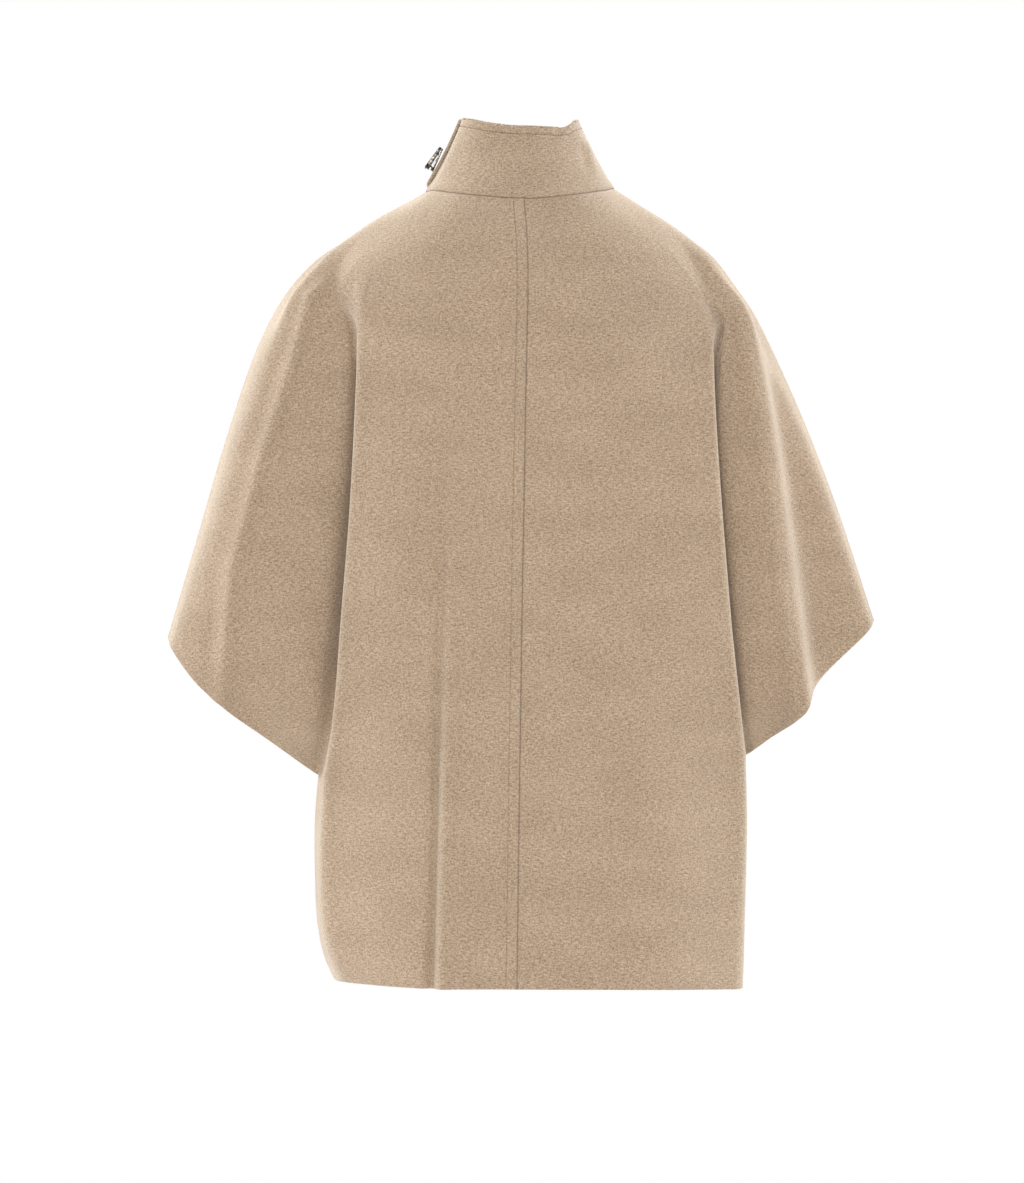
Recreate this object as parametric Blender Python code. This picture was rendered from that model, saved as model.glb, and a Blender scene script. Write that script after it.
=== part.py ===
"""Wool cape with batwing sleeves cut in one, a standing funnel collar and a metal clasp.

The cape is worn, with nobody in it. +Z is up, the front faces -Y and the wearer's left is +X. The origin
is on the neck's axis, at the height of the centre back neck seam. Sizes in the tables are millimetres.
"""

import math

import bpy
import numpy as np

MM = 0.001

# Cloth and seams
CLOTH = 2.4
COLLAR_CLOTH = 3.0
SEAM_GAP = 0.34
LAP_DROP = 3.6
STRIP_WIDTH = 10.8
STRIP_RISE = 0.7
STRIP_STEP = 1.6

# Front lap and collar lap
LAP_REACH = 36.0
COLLAR_END = 80.0
COLLAR_LIFT = 0.12
COLLAR_LEVELS = (0.0, 0.14, 0.36, 0.62, 0.86, 1.0)
COLLAR_HOLLOW = 1.5

# The rows of a panel run round the body, from the neckline (0) to the level of the underarm (1)
CAPE_ROWS = 21
BODY_ROWS = 6

# Neckline: how far out each side is, distances back and front, and heights at degrees from the
# centre back
NECK_OUT = {"left": 92.5, "right": 88.5}
NECK_BACK = 72.0
NECK_FRONT = -82.0
NECK_HEIGHTS = [(0, 0.0), (32, 4.5), (60, 10.5), (90, 14.5), (120, -1.0), (150, -40.0), (180, -62.0)]

# Collar top: how far out each side is, distances back and front, and heights at degrees from the
# centre back
TOP_OUT = {"left": 58.5, "right": 54.5}
TOP_BACK = 46.0
TOP_FRONT = -66.0
TOP_HEIGHTS = {
    "left": [(0, 71.5), (25, 74.0), (50, 79.5), (75, 82.5), (90, 82), (120, 64), (150, 31), (180, 14)],
    "right": [(0, 71.5), (40, 71.0), (62, 73.0), (75, 80.0), (90, 81), (120, 64), (150, 31), (180, 14)],
}

# Centre lines: row, back height, back distance, front height, front distance
CENTRE = [
    (0.00, 0, 72, -62, -82),
    (0.10, -52, 93, -106, -96),
    (0.24, -128, 107, -172, -112),
    (0.45, -239, 115, -270, -121),
    (0.65, -346, 119, -362, -122),
    (0.80, -426, 121, -434, -120),
    (1.00, -532, 123, -532, -117),
]

# Overarm seams, the silhouette from the neck to the sleeve's corner: row, out, height
OVERARM = {
    "left": [
        (0.00, 92.5, 14.5),
        (0.08, 125, -6.5),
        (0.16, 158, -29),
        (0.24, 193, -51),
        (0.32, 221, -81),
        (0.45, 250, -134),
        (0.60, 277, -211),
        (0.80, 307, -313),
        (1.00, 336, -411),
    ],
    "right": [
        (0.00, 88.5, 14.5),
        (0.08, 121, -7),
        (0.16, 150, -26),
        (0.24, 181, -48),
        (0.32, 205, -79),
        (0.40, 222, -104),
        (0.50, 241, -142),
        (0.65, 271, -210),
        (0.80, 300, -286),
        (1.00, 336, -395),
    ],
}

# Fold edges, where the back hangs over the sleeve: row, out, distance back, height, then the valley
# behind the edge: how far out of the edge it lies, and how deep
FOLD = {
    "left": [
        (0.16, 138, 66, -50, 4, 0),
        (0.24, 160, 68, -92, 6, 5),
        (0.32, 153, 80, -128, 3, 20),
        (0.45, 154.5, 87, -205, -3, 40),
        (0.60, 159.5, 90, -300, -3, 47),
        (0.80, 169.5, 88, -420, -1, 46),
        (0.93, 176, 81, -497, 4, 46),
        (1.00, 184, 68, -540, 9, 68),
    ],
    "right": [
        (0.16, 128, 66, -48, 4, 0),
        (0.24, 158, 64, -84, 6, 2),
        (0.32, 181, 62, -112, 8, 8),
        (0.40, 179, 78, -148, 4, 24),
        (0.50, 181, 85, -208, -2, 39),
        (0.65, 187, 88, -300, -3, 47),
        (0.80, 196, 86, -405, -2, 47),
        (0.93, 204.5, 78, -483, 2, 46),
        (1.00, 209, 66, -521, 5, 66),
    ],
}

# Ridges down the sleeves: row, out, distance back, height, then the dip outside the ridge: its share of
# the way to the overarm seam, its distance back and its height
RIDGE = {
    "left": [
        (0.16, 150, 38, -38, 0.5, 26, -33),
        (0.24, 180, 44, -64, 0.5, 32, -57),
        (0.32, 206, 50, -92, 0.5, 38, -86),
        (0.45, 223, 57, -158, 0.45, 44, -146),
        (0.60, 249, 60, -240, 0.4, 47, -228),
        (0.80, 278, 58, -351, 0.4, 44, -337),
        (1.00, 289, 50, -470, 0.4, 40, -452),
    ],
    "right": [
        (0.16, 143, 38, -35, 0.5, 24, -30),
        (0.24, 172, 42, -58, 0.5, 28, -52),
        (0.32, 198, 48, -84, 0.4, 32, -82),
        (0.40, 214, 55, -110, 0.4, 34, -107),
        (0.50, 225, 61, -161, 0.4, 34, -152),
        (0.65, 238.5, 63, -251, 0.32, 34, -234),
        (0.80, 251, 60, -351, 0.28, 30, -327),
        (1.00, 269, 52, -480, 0.2, 17, -452),
    ],
}

# Body below the underarm: height, side seam out, edge out, edge back
BODY = {
    "left": [
        (-540, 193, 184, 68),
        (-580, 196, 186, 67),
        (-630, 196, 187, 66),
        (-680, 193.5, 184, 66),
        (-712, 187, 177, 66),
        (-733, 178, 168, 64),
    ],
    "right": [
        (-521, 214, 209, 66),
        (-580, 211, 210.5, 62),
        (-630, 209, 209.5, 61),
        (-680, 207, 208, 60),
        (-715, 205.5, 207, 60),
        (-740, 204.5, 206, 60),
    ],
}
HEM_CENTRE = -734.5
HEM_BACK = 126.0
HEM_FRONT = -115.0

# The soft flare fold in the left back: height, out, depth
FLARE = [(-200, 68, 0), (-330, 71, 2.5), (-500, 74.5, 5.5), (-733, 79, 7)]
FLARE_WIDTH = 8.0

# The front's folds are a little shallower than the back's, and its sleeve ridges are softer
FRONT_DEPTH = 0.93
FRONT_RIDGE = 0.9

# How a panel turns before its fold edge, and how far the cloth behind the edge runs back in
TURN_IN = 17.0
TURN_RISE = 9.0
RECESS_IN = 5.0
MIDDLE_SHARE = 0.47
MIDDLE_FALL = 5.0
RIM_IN = 6.0
RIM_SAG = 3.0
SLEEVE_SAG = 4.0

# Rows between which the folds grow out of the smooth shoulder
FOLDS_BEGIN = 0.12
FOLDS_FULL = 0.30

# The left neckline lies under the collar's outer end between these degrees, and down to this row
SUNK_FROM = 62.0
SUNK_FULL = 78.0
SUNK_ROWS = 0.14

# A row has twelve anchors from its centre seam to its overarm seam: centre, middle, turn, edge, recess,
# valley, two on the sleeve, ridge, dip, rim and overarm. These are the angles at which they leave the
# neckline, and the panel's columns as shares of each stretch between them. Below the underarm only the
# stretches up to the valley go on.
ANCHOR_ANGLES = (0, 36, 50, 56, 60, 64, 68, 73, 79, 84, 88, 90)
COLUMNS = [
    (0.0, 0.25, 0.5, 0.78),
    (0.0, 0.16, 0.42, 0.7),
    (0.0, 0.5),
    (0.0, 0.5),
    (0.0, 0.5),
    (0.0, 0.5),
    (0.0,),
    (0.0, 0.5),
    (0.0, 0.5),
    (0.0,),
    (0.0, 0.5),
    (1.0,),
]
BODY_STRETCHES = 5

# Clasp, on the wearer's left side of the collar: its plate stands on its foot there and leans with the
# collar, a little more upright, and the lever outside it is joined to its foot by a bent link
CLASP_ANGLE = 86.0
CLASP_SHARE = 0.25
CLASP_STAND = 0.6
CLASP_UPRIGHT = 3.0
PLATE_SIZE = (1.3, 13.0, 23.0)
LEVER_SIZE = (2.6, 13.0, 24.0)
LEVER_FOOT_OUT = 6.8
LEVER_CLOSE = 13.0
LINK_THICK = 1.4
LINK_WIDTH = 6.4
RIVET_RADIUS = 1.5
RIVET_HIGH = 0.8

WOOL = (0.475, 0.352, 0.247, 1.0)
GUNMETAL = (0.17, 0.16, 0.145, 1.0)


def clear_scene():
    for thing in list(bpy.data.objects):
        bpy.data.objects.remove(thing, do_unlink=True)


def material(name, colour, roughness, metallic):
    made = bpy.data.materials.new(name)
    made.use_nodes = True
    shader = made.node_tree.nodes["Principled BSDF"]
    shader.inputs["Base Color"].default_value = colour
    shader.inputs["Roughness"].default_value = roughness
    shader.inputs["Metallic"].default_value = metallic
    return made


def step(low, high, value):
    """Smooth rise from 0 at low to 1 at high."""
    share = np.clip((value - low) / (high - low), 0.0, 1.0)
    return share * share * (3.0 - 2.0 * share)


def look_up(table, key):
    """The columns of a table at a key between its rows, on a smooth curve through the rows."""
    rows = np.array(table, dtype=float)
    keys, values = rows[:, 0], rows[:, 1:]
    if keys[0] > keys[-1]:
        keys, values = keys[::-1], values[::-1]
    key = min(max(key, keys[0]), keys[-1])
    at = min(int(np.searchsorted(keys, key, side="right")) - 1, len(keys) - 2)
    chords = np.diff(values, axis=0) / np.diff(keys)[:, None]
    slopes = np.vstack([chords[:1], (chords[1:] + chords[:-1]) / 2.0, chords[-1:]])
    width = keys[at + 1] - keys[at]
    u = (key - keys[at]) / width
    return (
        (2 * u**3 - 3 * u**2 + 1) * values[at]
        + (u**3 - 2 * u**2 + u) * width * slopes[at]
        + (3 * u**2 - 2 * u**3) * values[at + 1]
        + (u**3 - u**2) * width * slopes[at + 1]
    )


def curve(anchors, columns):
    """Points on a smooth curve through the anchors, at shares of each stretch between them."""
    anchors = np.array(anchors, dtype=float)
    knots = np.concatenate([[0.0], np.cumsum(np.linalg.norm(np.diff(anchors, axis=0), axis=1) ** 0.5)])
    knots += np.arange(len(knots)) * 1e-6
    chords = np.diff(anchors, axis=0) / np.diff(knots)[:, None]
    slopes = [chords[0]]
    for i in range(1, len(chords)):
        before, after = knots[i] - knots[i - 1], knots[i + 1] - knots[i]
        slopes.append((chords[i - 1] * after + chords[i] * before) / (before + after))
    slopes.append(chords[-1])
    points = []
    for i, shares in enumerate(columns):
        if i == len(anchors) - 1:
            points.append(anchors[-1])
            break
        width = knots[i + 1] - knots[i]
        for u in shares:
            points.append(
                (2 * u**3 - 3 * u**2 + 1) * anchors[i]
                + (u**3 - 2 * u**2 + u) * width * slopes[i]
                + (3 * u**2 - 2 * u**3) * anchors[i + 1]
                + (u**3 - u**2) * width * slopes[i + 1]
            )
    return np.array(points)


def height_round(table, degrees):
    """A height round the neck, level at the centre back and the centre front."""
    turned = abs((degrees + 180.0) % 360.0 - 180.0)
    low = (-table[1][0], table[1][1])
    high = (360.0 - table[-2][0], table[-2][1])
    return look_up([low] + table + [high], turned)[0]


def side_of(out):
    return "left" if out >= 0.0 else "right"


def neck_point(degrees):
    """A point on the neckline, by its angle from the centre back towards the wearer's left."""
    turn = math.radians(degrees)
    middle, reach = (NECK_BACK + NECK_FRONT) / 2.0, (NECK_BACK - NECK_FRONT) / 2.0
    out = NECK_OUT[side_of(math.sin(turn))]
    height = height_round(NECK_HEIGHTS, degrees)
    return np.array([out * math.sin(turn), middle + reach * math.cos(turn), height])


def top_point(degrees):
    """A point on the collar's top edge, whose outline is a little squarer than the neckline's."""
    turn = math.radians(degrees)
    middle, reach = (TOP_BACK + TOP_FRONT) / 2.0, (TOP_BACK - TOP_FRONT) / 2.0
    sine, cosine = math.sin(turn), math.cos(turn)
    side = side_of(sine)
    square = (abs(sine) ** 2.5 + abs(cosine) ** 2.5) ** (-1 / 2.5)
    height = height_round(TOP_HEIGHTS[side], degrees)
    return np.array([TOP_OUT[side] * square * sine, middle + reach * square * cosine, height])


def side_neck_point(angle, side, face):
    """A point on the neckline, by its angle from the centre seam, with its distance out positive."""
    turned = angle if face == "back" else 180.0 - angle
    point = neck_point(turned if side == "left" else -turned)
    point[0] = abs(point[0])
    return point


def ring_anchors(row, side, face):
    """Anchors of a row high on the shoulders, where there are no folds yet: a ring round the neck."""
    back_z, back_y, front_z, front_y = look_up(CENTRE, row)
    middle_z, middle_y = (back_z, back_y) if face == "back" else (front_z, front_y)
    neck_y = NECK_BACK if face == "back" else NECK_FRONT
    out, over_z = look_up(OVERARM[side], row)
    low = side_neck_point(0.0, side, face)[2]
    high = side_neck_point(90.0, side, face)[2]
    share = step(0.0, 0.12, row)
    anchors = []
    for angle in ANCHOR_ANGLES:
        turn = math.radians(angle)
        at_neck = side_neck_point(angle, side, face)
        rise = (at_neck[2] - low) / (high - low)
        height = middle_z + (over_z - middle_z) * rise
        ring = np.array([out * math.sin(turn), middle_y * math.cos(turn), height])
        level = np.array([NECK_OUT[side] * math.sin(turn), neck_y * math.cos(turn), height])
        from_neck = ring + (at_neck - level) * np.array([1.0, 1.0, 0.0])
        anchors.append(from_neck * (1 - share) + ring * share)
    anchors[0][:2] = 0.0, middle_y
    return np.array(anchors)


def middle_out(side, face, height, edge_x):
    """How far out a panel's middle anchor is: on the flare fold in the left back."""
    if side == "left" and face == "back":
        return look_up(FLARE, height)[0]
    return MIDDLE_SHARE * edge_x


def middle_anchor(mid_x, edge_x, middle_y, middle_z, edge_z):
    share = mid_x / edge_x
    return (mid_x, middle_y - MIDDLE_FALL * share, middle_z + 0.25 * share * (edge_z - middle_z))


def fold_anchors(row, side, face):
    """Anchors of a row lower down: the back or front panel, the fold behind its edge, and the sleeve."""
    back_z, back_y, front_z, front_y = look_up(CENTRE, row)
    edge_x, edge_y, edge_z, valley_out, depth = look_up(FOLD[side], max(row, 0.16))
    ridge_x, ridge_y, ridge_z, dip_share, dip_y, dip_z = look_up(RIDGE[side], max(row, 0.16))
    over_x, over_z = look_up(OVERARM[side], row)
    middle_y, middle_z = back_y, back_z
    if face == "front":
        middle_y, middle_z = -front_y, front_z
        edge_z += 0.4 * (front_z - back_z)
        edge_y *= FRONT_DEPTH
        depth *= FRONT_DEPTH
        ridge_y *= FRONT_RIDGE
        dip_y = 0.5 * dip_y + 0.36 * ridge_y
    valley_x, valley_y = edge_x + valley_out, edge_y - depth
    turned = step(8.0, 30.0, depth)
    mid_x = middle_out(side, face, middle_z, edge_x)
    dip_x = ridge_x + dip_share * (over_x - ridge_x)
    rim_x = over_x - RIM_IN
    rim_z = dip_z + (over_z - dip_z) * (rim_x - dip_x) / (over_x - dip_x) - RIM_SAG * row
    anchors = [
        (0.0, middle_y, middle_z),
        middle_anchor(mid_x, edge_x, middle_y, middle_z, edge_z),
        (edge_x - TURN_IN, edge_y + TURN_RISE + 4.0 * (1 - turned), middle_z + 0.8 * (edge_z - middle_z)),
        (edge_x, edge_y, edge_z),
        ((edge_x + valley_x) / 2.0 - RECESS_IN * turned, edge_y - 0.5 * depth, edge_z - 1.0),
        (valley_x, valley_y, edge_z - 2.0),
    ]
    # From the valley to the ridge the row climbs as the sleeve's hem does
    for share, back, full in ((0.22, 0.2, 1.0), (0.5, 0.72, 0.0)):
        out = valley_x + share * (ridge_x - valley_x)
        height = edge_z - 2.0 + (ridge_z - edge_z + 2.0) * share - SLEEVE_SAG * share * (1 - share) * row
        anchors.append((out, valley_y + back * (ridge_y - valley_y) + full, height))
    anchors += [
        (ridge_x, ridge_y, ridge_z),
        (dip_x, dip_y, dip_z),
        (rim_x, 0.5 * dip_y, rim_z),
        (over_x, 0.0, over_z),
    ]
    anchors = np.array(anchors)
    if face == "front":
        anchors[:, 1] *= -1.0
    return anchors


def cape_row(row, side, face, columns):
    mixed = step(FOLDS_BEGIN, FOLDS_FULL, row)
    anchors = ring_anchors(row, side, face) * (1 - mixed) + fold_anchors(row, side, face) * mixed
    return curve(anchors, columns)


def body_row(share, side, face, columns):
    """A row below the underarm, from the centre seam to the side seam. Share 0 is the underarm."""
    top, bottom = BODY[side][0][0], BODY[side][-1][0]
    height = top + (bottom - top) * share
    side_x, edge_x, edge_y = look_up(BODY[side], height)
    middle_z = CENTRE[-1][1] + (HEM_CENTRE - CENTRE[-1][1]) * share
    last = CENTRE[-1][2] if face == "back" else -CENTRE[-1][4]
    hem = HEM_BACK if face == "back" else -HEM_FRONT
    middle_y = last + (hem - last) * share
    if face == "front":
        edge_y *= FRONT_DEPTH
    mid_x = middle_out(side, face, middle_z, edge_x)
    anchors = [
        (0.0, middle_y, middle_z),
        middle_anchor(mid_x, edge_x, middle_y, middle_z, height),
        (edge_x - TURN_IN, edge_y + TURN_RISE + 7.0 * share, middle_z + 0.8 * (height - middle_z)),
        (edge_x, edge_y, height),
        ((edge_x + side_x) / 2.0 - RECESS_IN * (1 - share) ** 3 + 2.0 * share, 0.5 * edge_y, height - 1.0),
        (side_x, 0.0, height - 2.0),
    ]
    anchors = np.array(anchors)
    if face == "front":
        anchors[:, 1] *= -1.0
    return curve(anchors, columns[:BODY_STRETCHES] + [(1.0,)])


def sheet_rows(side, face):
    """All rows of one half of the back or front, from the neckline to the hem, as lists of points."""
    cape = [cape_row(i / CAPE_ROWS, side, face, COLUMNS) for i in range(CAPE_ROWS + 1)]
    body = [body_row(i / BODY_ROWS, side, face, COLUMNS) for i in range(1, BODY_ROWS + 1)]
    own = (STRIP_WIDTH, STRIP_WIDTH + STRIP_STEP) if face == "back" else (LAP_REACH / 2.0, LAP_REACH)
    for points in cape + body:
        set_columns(points, own)
        if side == "left" and face == "back":
            add_flare(points)
    cape[0] = neckline_row(side, face, cape[0])
    return cape + body


def set_columns(points, outs):
    """Puts the second and third points of a row at the given distances out from the centre."""
    low, high = points[0].copy(), points[3].copy()
    for column, out in zip((1, 2), outs):
        share = out / high[0]
        bow = points[2] - (low + (high - low) * points[2][0] / high[0])
        points[column] = low + (high - low) * share + bow * 4.0 * share * (1.0 - share)
        points[column][0] = out


def neckline_row(side, face, points):
    """Puts the first row exactly on the neckline, as far out as its points already are."""
    angles = np.degrees(np.arcsin(np.minimum(points[:, 0] / NECK_OUT[side], 1.0)))
    return np.array([side_neck_point(angle, side, face) for angle in angles])


def add_flare(points):
    """The soft vertical fold of the left back: a trough with a low ridge on its centre side."""
    for p in points:
        if p[1] < 95.0 or p[0] < STRIP_WIDTH:
            continue
        out, depth = look_up(FLARE, p[2])
        p[1] -= depth * math.exp(-(((p[0] - out) / FLARE_WIDTH) ** 2))
        p[1] += 0.4 * depth * math.exp(-(((p[0] - out + 2 * FLARE_WIDTH) / (1.3 * FLARE_WIDTH)) ** 2))


class Panel:
    """One piece of cloth: outer points in rows, and the quads between them."""

    def __init__(self, name, rows, flip, thickness):
        self.name = name
        self.thickness = thickness
        self.rows = len(rows)
        self.index = {}
        points = []
        for r, row in enumerate(rows):
            for c, point in enumerate(row):
                self.index[r, c] = len(points)
                points.append(point)
        self.points = np.array(points, dtype=float)
        self.quads = []
        for r in range(len(rows) - 1):
            for c in range(min(len(rows[r]), len(rows[r + 1])) - 1):
                corners = [(r, c), (r + 1, c), (r + 1, c + 1), (r, c + 1)]
                quad = [self.index[corner] for corner in corners]
                self.quads.append(quad[::-1] if flip else quad)
        self.raised = np.zeros(len(points))
        self.mitre = np.ones(len(points))
        self.moves = np.zeros_like(self.points)
        self.find_normals()

    def find_normals(self):
        total = np.zeros_like(self.points)
        for quad in self.quads:
            a, b, c, d = (self.points[i] for i in quad)
            normal = np.cross(c - a, d - b)
            for i in quad:
                total[i] += normal / max(np.linalg.norm(normal), 1e-9)
        self.normals = total / np.maximum(np.linalg.norm(total, axis=1), 1e-9)[:, None]

    def ids(self, test):
        return {i for (r, c), i in self.index.items() if test(r, c)}

    def inset(self, seam):
        """Draws the points on a seam back into the panel by half the seam's gap."""
        near = {i: set() for i in seam}
        for quad in self.quads:
            for k in range(4):
                a, b = quad[k], quad[(k + 1) % 4]
                if a in seam and b not in seam:
                    near[a].add(b)
                if b in seam and a not in seam:
                    near[b].add(a)
        for i, others in near.items():
            if others:
                way = self.points[list(others)].mean(axis=0) - self.points[i]
                self.moves[i] += way / np.linalg.norm(way) * SEAM_GAP / 2.0

    def build(self, look):
        outer = self.points + self.normals * self.raised[:, None] + self.moves
        inner = self.points - self.normals * (self.thickness * self.mitre)[:, None] + self.moves
        count = len(outer)
        faces = [tuple(q) for q in self.quads]
        faces += [tuple(i + count for i in q[::-1]) for q in self.quads]
        edges = {(q[k], q[(k + 1) % 4]) for q in self.quads for k in range(4)}
        faces += [(b, a, a + count, b + count) for a, b in sorted(edges) if (b, a) not in edges]
        return solid(self.name, np.vstack([outer, inner]) * MM, faces, look)


def share_normals(panels):
    """Gives panels that meet at a seam the same wall direction there, so that their walls mitre."""
    meeting = {}
    for panel in panels:
        for i, point in enumerate(panel.points):
            meeting.setdefault(tuple(np.round(point, 2)), []).append((panel, i))
    for group in meeting.values():
        if len(group) < 2:
            continue
        total = sum(panel.normals[i] for panel, i in group)
        total /= np.linalg.norm(total)
        for panel, i in group:
            panel.mitre[i] = 1.0 / max(float(total @ panel.normals[i]), 0.75)
            panel.normals[i] = total


def solid(name, points, faces, look):
    mesh = bpy.data.meshes.new(name)
    mesh.from_pydata([tuple(p) for p in points], [], faces)
    mesh.update()
    made = bpy.data.objects.new(name, mesh)
    bpy.context.collection.objects.link(made)
    mesh.materials.append(look)
    mesh.shade_smooth()
    mesh.set_sharp_from_angle(angle=math.radians(50))
    return made


def mirrored(rows):
    return [row * np.array([-1.0, 1.0, 1.0]) for row in rows]


def front_rows(own, other):
    """The rows of one front, continued past the centre by the lap. Its first column is its edge."""
    return [np.vstack([beyond[2:0:-1], row]) for row, beyond in zip(own, other)]


def drop_left(back, front):
    """Sinks the left panels under the collar's outer end at the neck, and the left front under the lap."""
    flat = [Panel("back", back, True, CLOTH), Panel("front", front, False, CLOTH)]
    share_normals(flat)
    return [sunk_rows(flat[0], back, False), sunk_rows(flat[1], front, True)]


def sunk_rows(flat, rows, laps):
    sunk = []
    for r, row in enumerate(rows):
        moved = row.copy()
        for c, point in enumerate(row):
            across = 1.0 - step(LAP_REACH + 8.0, LAP_REACH + 42.0, point[0]) if laps else 0.0
            at_neck = step(SUNK_FROM, SUNK_FULL, neck_angle(rows[0][c]))
            at_neck *= 1.0 - step(0.0, SUNK_ROWS, r / CAPE_ROWS)
            moved[c] = point - flat.normals[flat.index[r, c]] * LAP_DROP * max(across, at_neck)
        sunk.append(moved)
    return sunk


def neck_angle(point):
    """Degrees round the neck from the centre back, by either side, for a point on the neckline."""
    middle, reach = (NECK_BACK + NECK_FRONT) / 2.0, (NECK_BACK - NECK_FRONT) / 2.0
    out = NECK_OUT[side_of(point[0])]
    return abs(math.degrees(math.atan2(point[0] / out, (point[1] - middle) / reach)))


def collar_columns(panels):
    """The collar's feet, from its inner end round the neck to its free outer end, with how far each
    stands in from the outer layer, and how much of its height is cut away at foot and top."""
    back_left, back_right, front_left, front_right = panels

    def first_row(panel):
        count = len([1 for r, c in panel.index if r == 0])
        return [panel.points[panel.index[0, c]] for c in range(count)]

    feet = first_row(front_left) + first_row(back_left)[-2::-1]
    dropped = len(feet)
    feet += first_row(back_right)[1:] + first_row(front_right)[-2::-1]
    columns = []
    for i, foot in enumerate(feet):
        angle = neck_angle(foot)
        drop = LAP_DROP * step(SUNK_FROM, SUNK_FULL, angle) if i < dropped else 0.0
        signed = angle if foot[0] > 0 else -angle
        columns.append((foot, signed, drop, 0.0, 1.0))
    start = abs(columns[-1][1])
    free = np.concatenate([np.linspace(start - 4.0, COLLAR_END + 6.0, 9), [COLLAR_END + 2.0, COLLAR_END]])
    for angle in free:
        corner = step(COLLAR_END + 6.0, COLLAR_END, angle)
        low = COLLAR_LIFT * step(start, start - 10.0, angle) + 0.10 * corner
        columns.append((neck_point(angle), angle, 0.0, low, 1.0 - 0.08 * corner))
    return columns


def make_collar(panels):
    rows = [[] for level in COLLAR_LEVELS]
    for foot, angle, drop, low, high in collar_columns(panels):
        top = top_point(angle)
        inward = np.array([-math.sin(math.radians(angle)), -math.cos(math.radians(angle)), 0.0])
        top = top + inward * drop
        for row, level in zip(rows, COLLAR_LEVELS):
            share = low + (high - low) * level
            point = foot + (top - foot) * share
            row.append(point + inward * COLLAR_HOLLOW * math.sin(math.pi * share))
    return Panel("collar", [np.array(row) for row in rows], True, COLLAR_CLOTH)


def make_cloth():
    sides = {
        "back_left": sheet_rows("left", "back"),
        "back_right": mirrored(sheet_rows("right", "back")),
        "front_left": sheet_rows("left", "front"),
        "front_right": mirrored(sheet_rows("right", "front")),
    }
    left_front = front_rows(sides["front_left"], sides["front_right"])
    right_front = front_rows(sides["front_right"], sides["front_left"])
    back_left, left_front = drop_left(sides["back_left"], left_front)
    panels = [
        Panel("back_left", back_left, True, CLOTH),
        Panel("back_right", sides["back_right"], False, CLOTH),
        Panel("front_left", left_front, False, CLOTH),
        Panel("front_right", right_front, True, CLOTH),
    ]
    collar = make_collar(panels)
    share_normals(panels + [collar])
    for panel in panels:
        columns = max(c for r, c in panel.index)
        side = max(c for r, c in panel.index if r == panel.rows - 1)
        panel.inset(panel.ids(lambda r, c: r == 0))
        panel.inset(panel.ids(lambda r, c: c == columns))
        panel.inset(panel.ids(lambda r, c: c == side and r >= CAPE_ROWS))
        if panel.name.startswith("back"):
            panel.inset(panel.ids(lambda r, c: c == 0))
    collar.inset(collar.ids(lambda r, c: r == 0))
    for i in panels[0].ids(lambda r, c: c < 2):
        panels[0].raised[i] = STRIP_RISE
    return panels + [collar]


def rounded_plate(name, size, corner, look):
    """A plate with rounded corners, standing on its foot: thick along X, wide along Y, high along Z."""
    thick, wide, high = size
    outline = []
    for cy, cz, first in (
        (wide / 2 - corner, corner, -90),
        (wide / 2 - corner, high - corner, 0),
        (corner - wide / 2, high - corner, 90),
        (corner - wide / 2, corner, 180),
    ):
        for turn in (0, 30, 60, 90):
            angle = math.radians(first + turn)
            outline.append((cy + corner * math.cos(angle), cz + corner * math.sin(angle)))
    count = len(outline)
    bevel = thick * 0.22
    rings = ((0.0, bevel), (bevel, 0.0), (thick - bevel, 0.0), (thick, bevel))
    points = []
    for x, inset in rings:
        for y, z in outline:
            shrink_y = 1.0 - 2.0 * inset / wide
            shrink_z = 1.0 - 2.0 * inset / high
            points.append((x, y * shrink_y, high / 2 + (z - high / 2) * shrink_z))
    faces = [tuple(range(count))[::-1], tuple(range(3 * count, 4 * count))]
    for ring in range(3):
        for k in range(count):
            a, b = ring * count + k, ring * count + (k + 1) % count
            faces.append((a, b, b + count, a + count))
    return solid(name, np.array(points) * MM, faces, look)


def bent_link(name, look):
    """The link at the clasp's foot: a strip bent round in a half circle, from the plate to the lever."""
    points = []
    turns = 9
    middle = (LEVER_FOOT_OUT + LEVER_SIZE[0] / 2.0 - PLATE_SIZE[0] / 2.0) / 2.0
    for k in range(turns):
        angle = math.radians(180.0 + 180.0 * k / (turns - 1))
        for radius in (middle + LINK_THICK / 2.0, middle - LINK_THICK / 2.0):
            for y in (-LINK_WIDTH / 2.0, LINK_WIDTH / 2.0):
                points.append((radius * math.cos(angle), y, radius * math.sin(angle)))
    faces = [(2, 3, 1, 0)]
    for k in range(turns - 1):
        a, b = 4 * k, 4 * (k + 1)
        for i, j in ((0, 1), (1, 3), (3, 2), (2, 0)):
            faces.append((a + i, a + j, b + j, b + i))
    last = 4 * (turns - 1)
    faces.append((last + 1, last + 3, last + 2, last))
    return solid(name, np.array(points) * MM, faces, look)


def rivet(name, look):
    bpy.ops.mesh.primitive_cylinder_add(vertices=14, radius=RIVET_RADIUS * MM, depth=RIVET_HIGH * MM)
    made = bpy.context.object
    made.name = name
    made.rotation_euler = (0.0, math.pi / 2.0, 0.0)
    made.data.materials.append(look)
    return made


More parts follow.
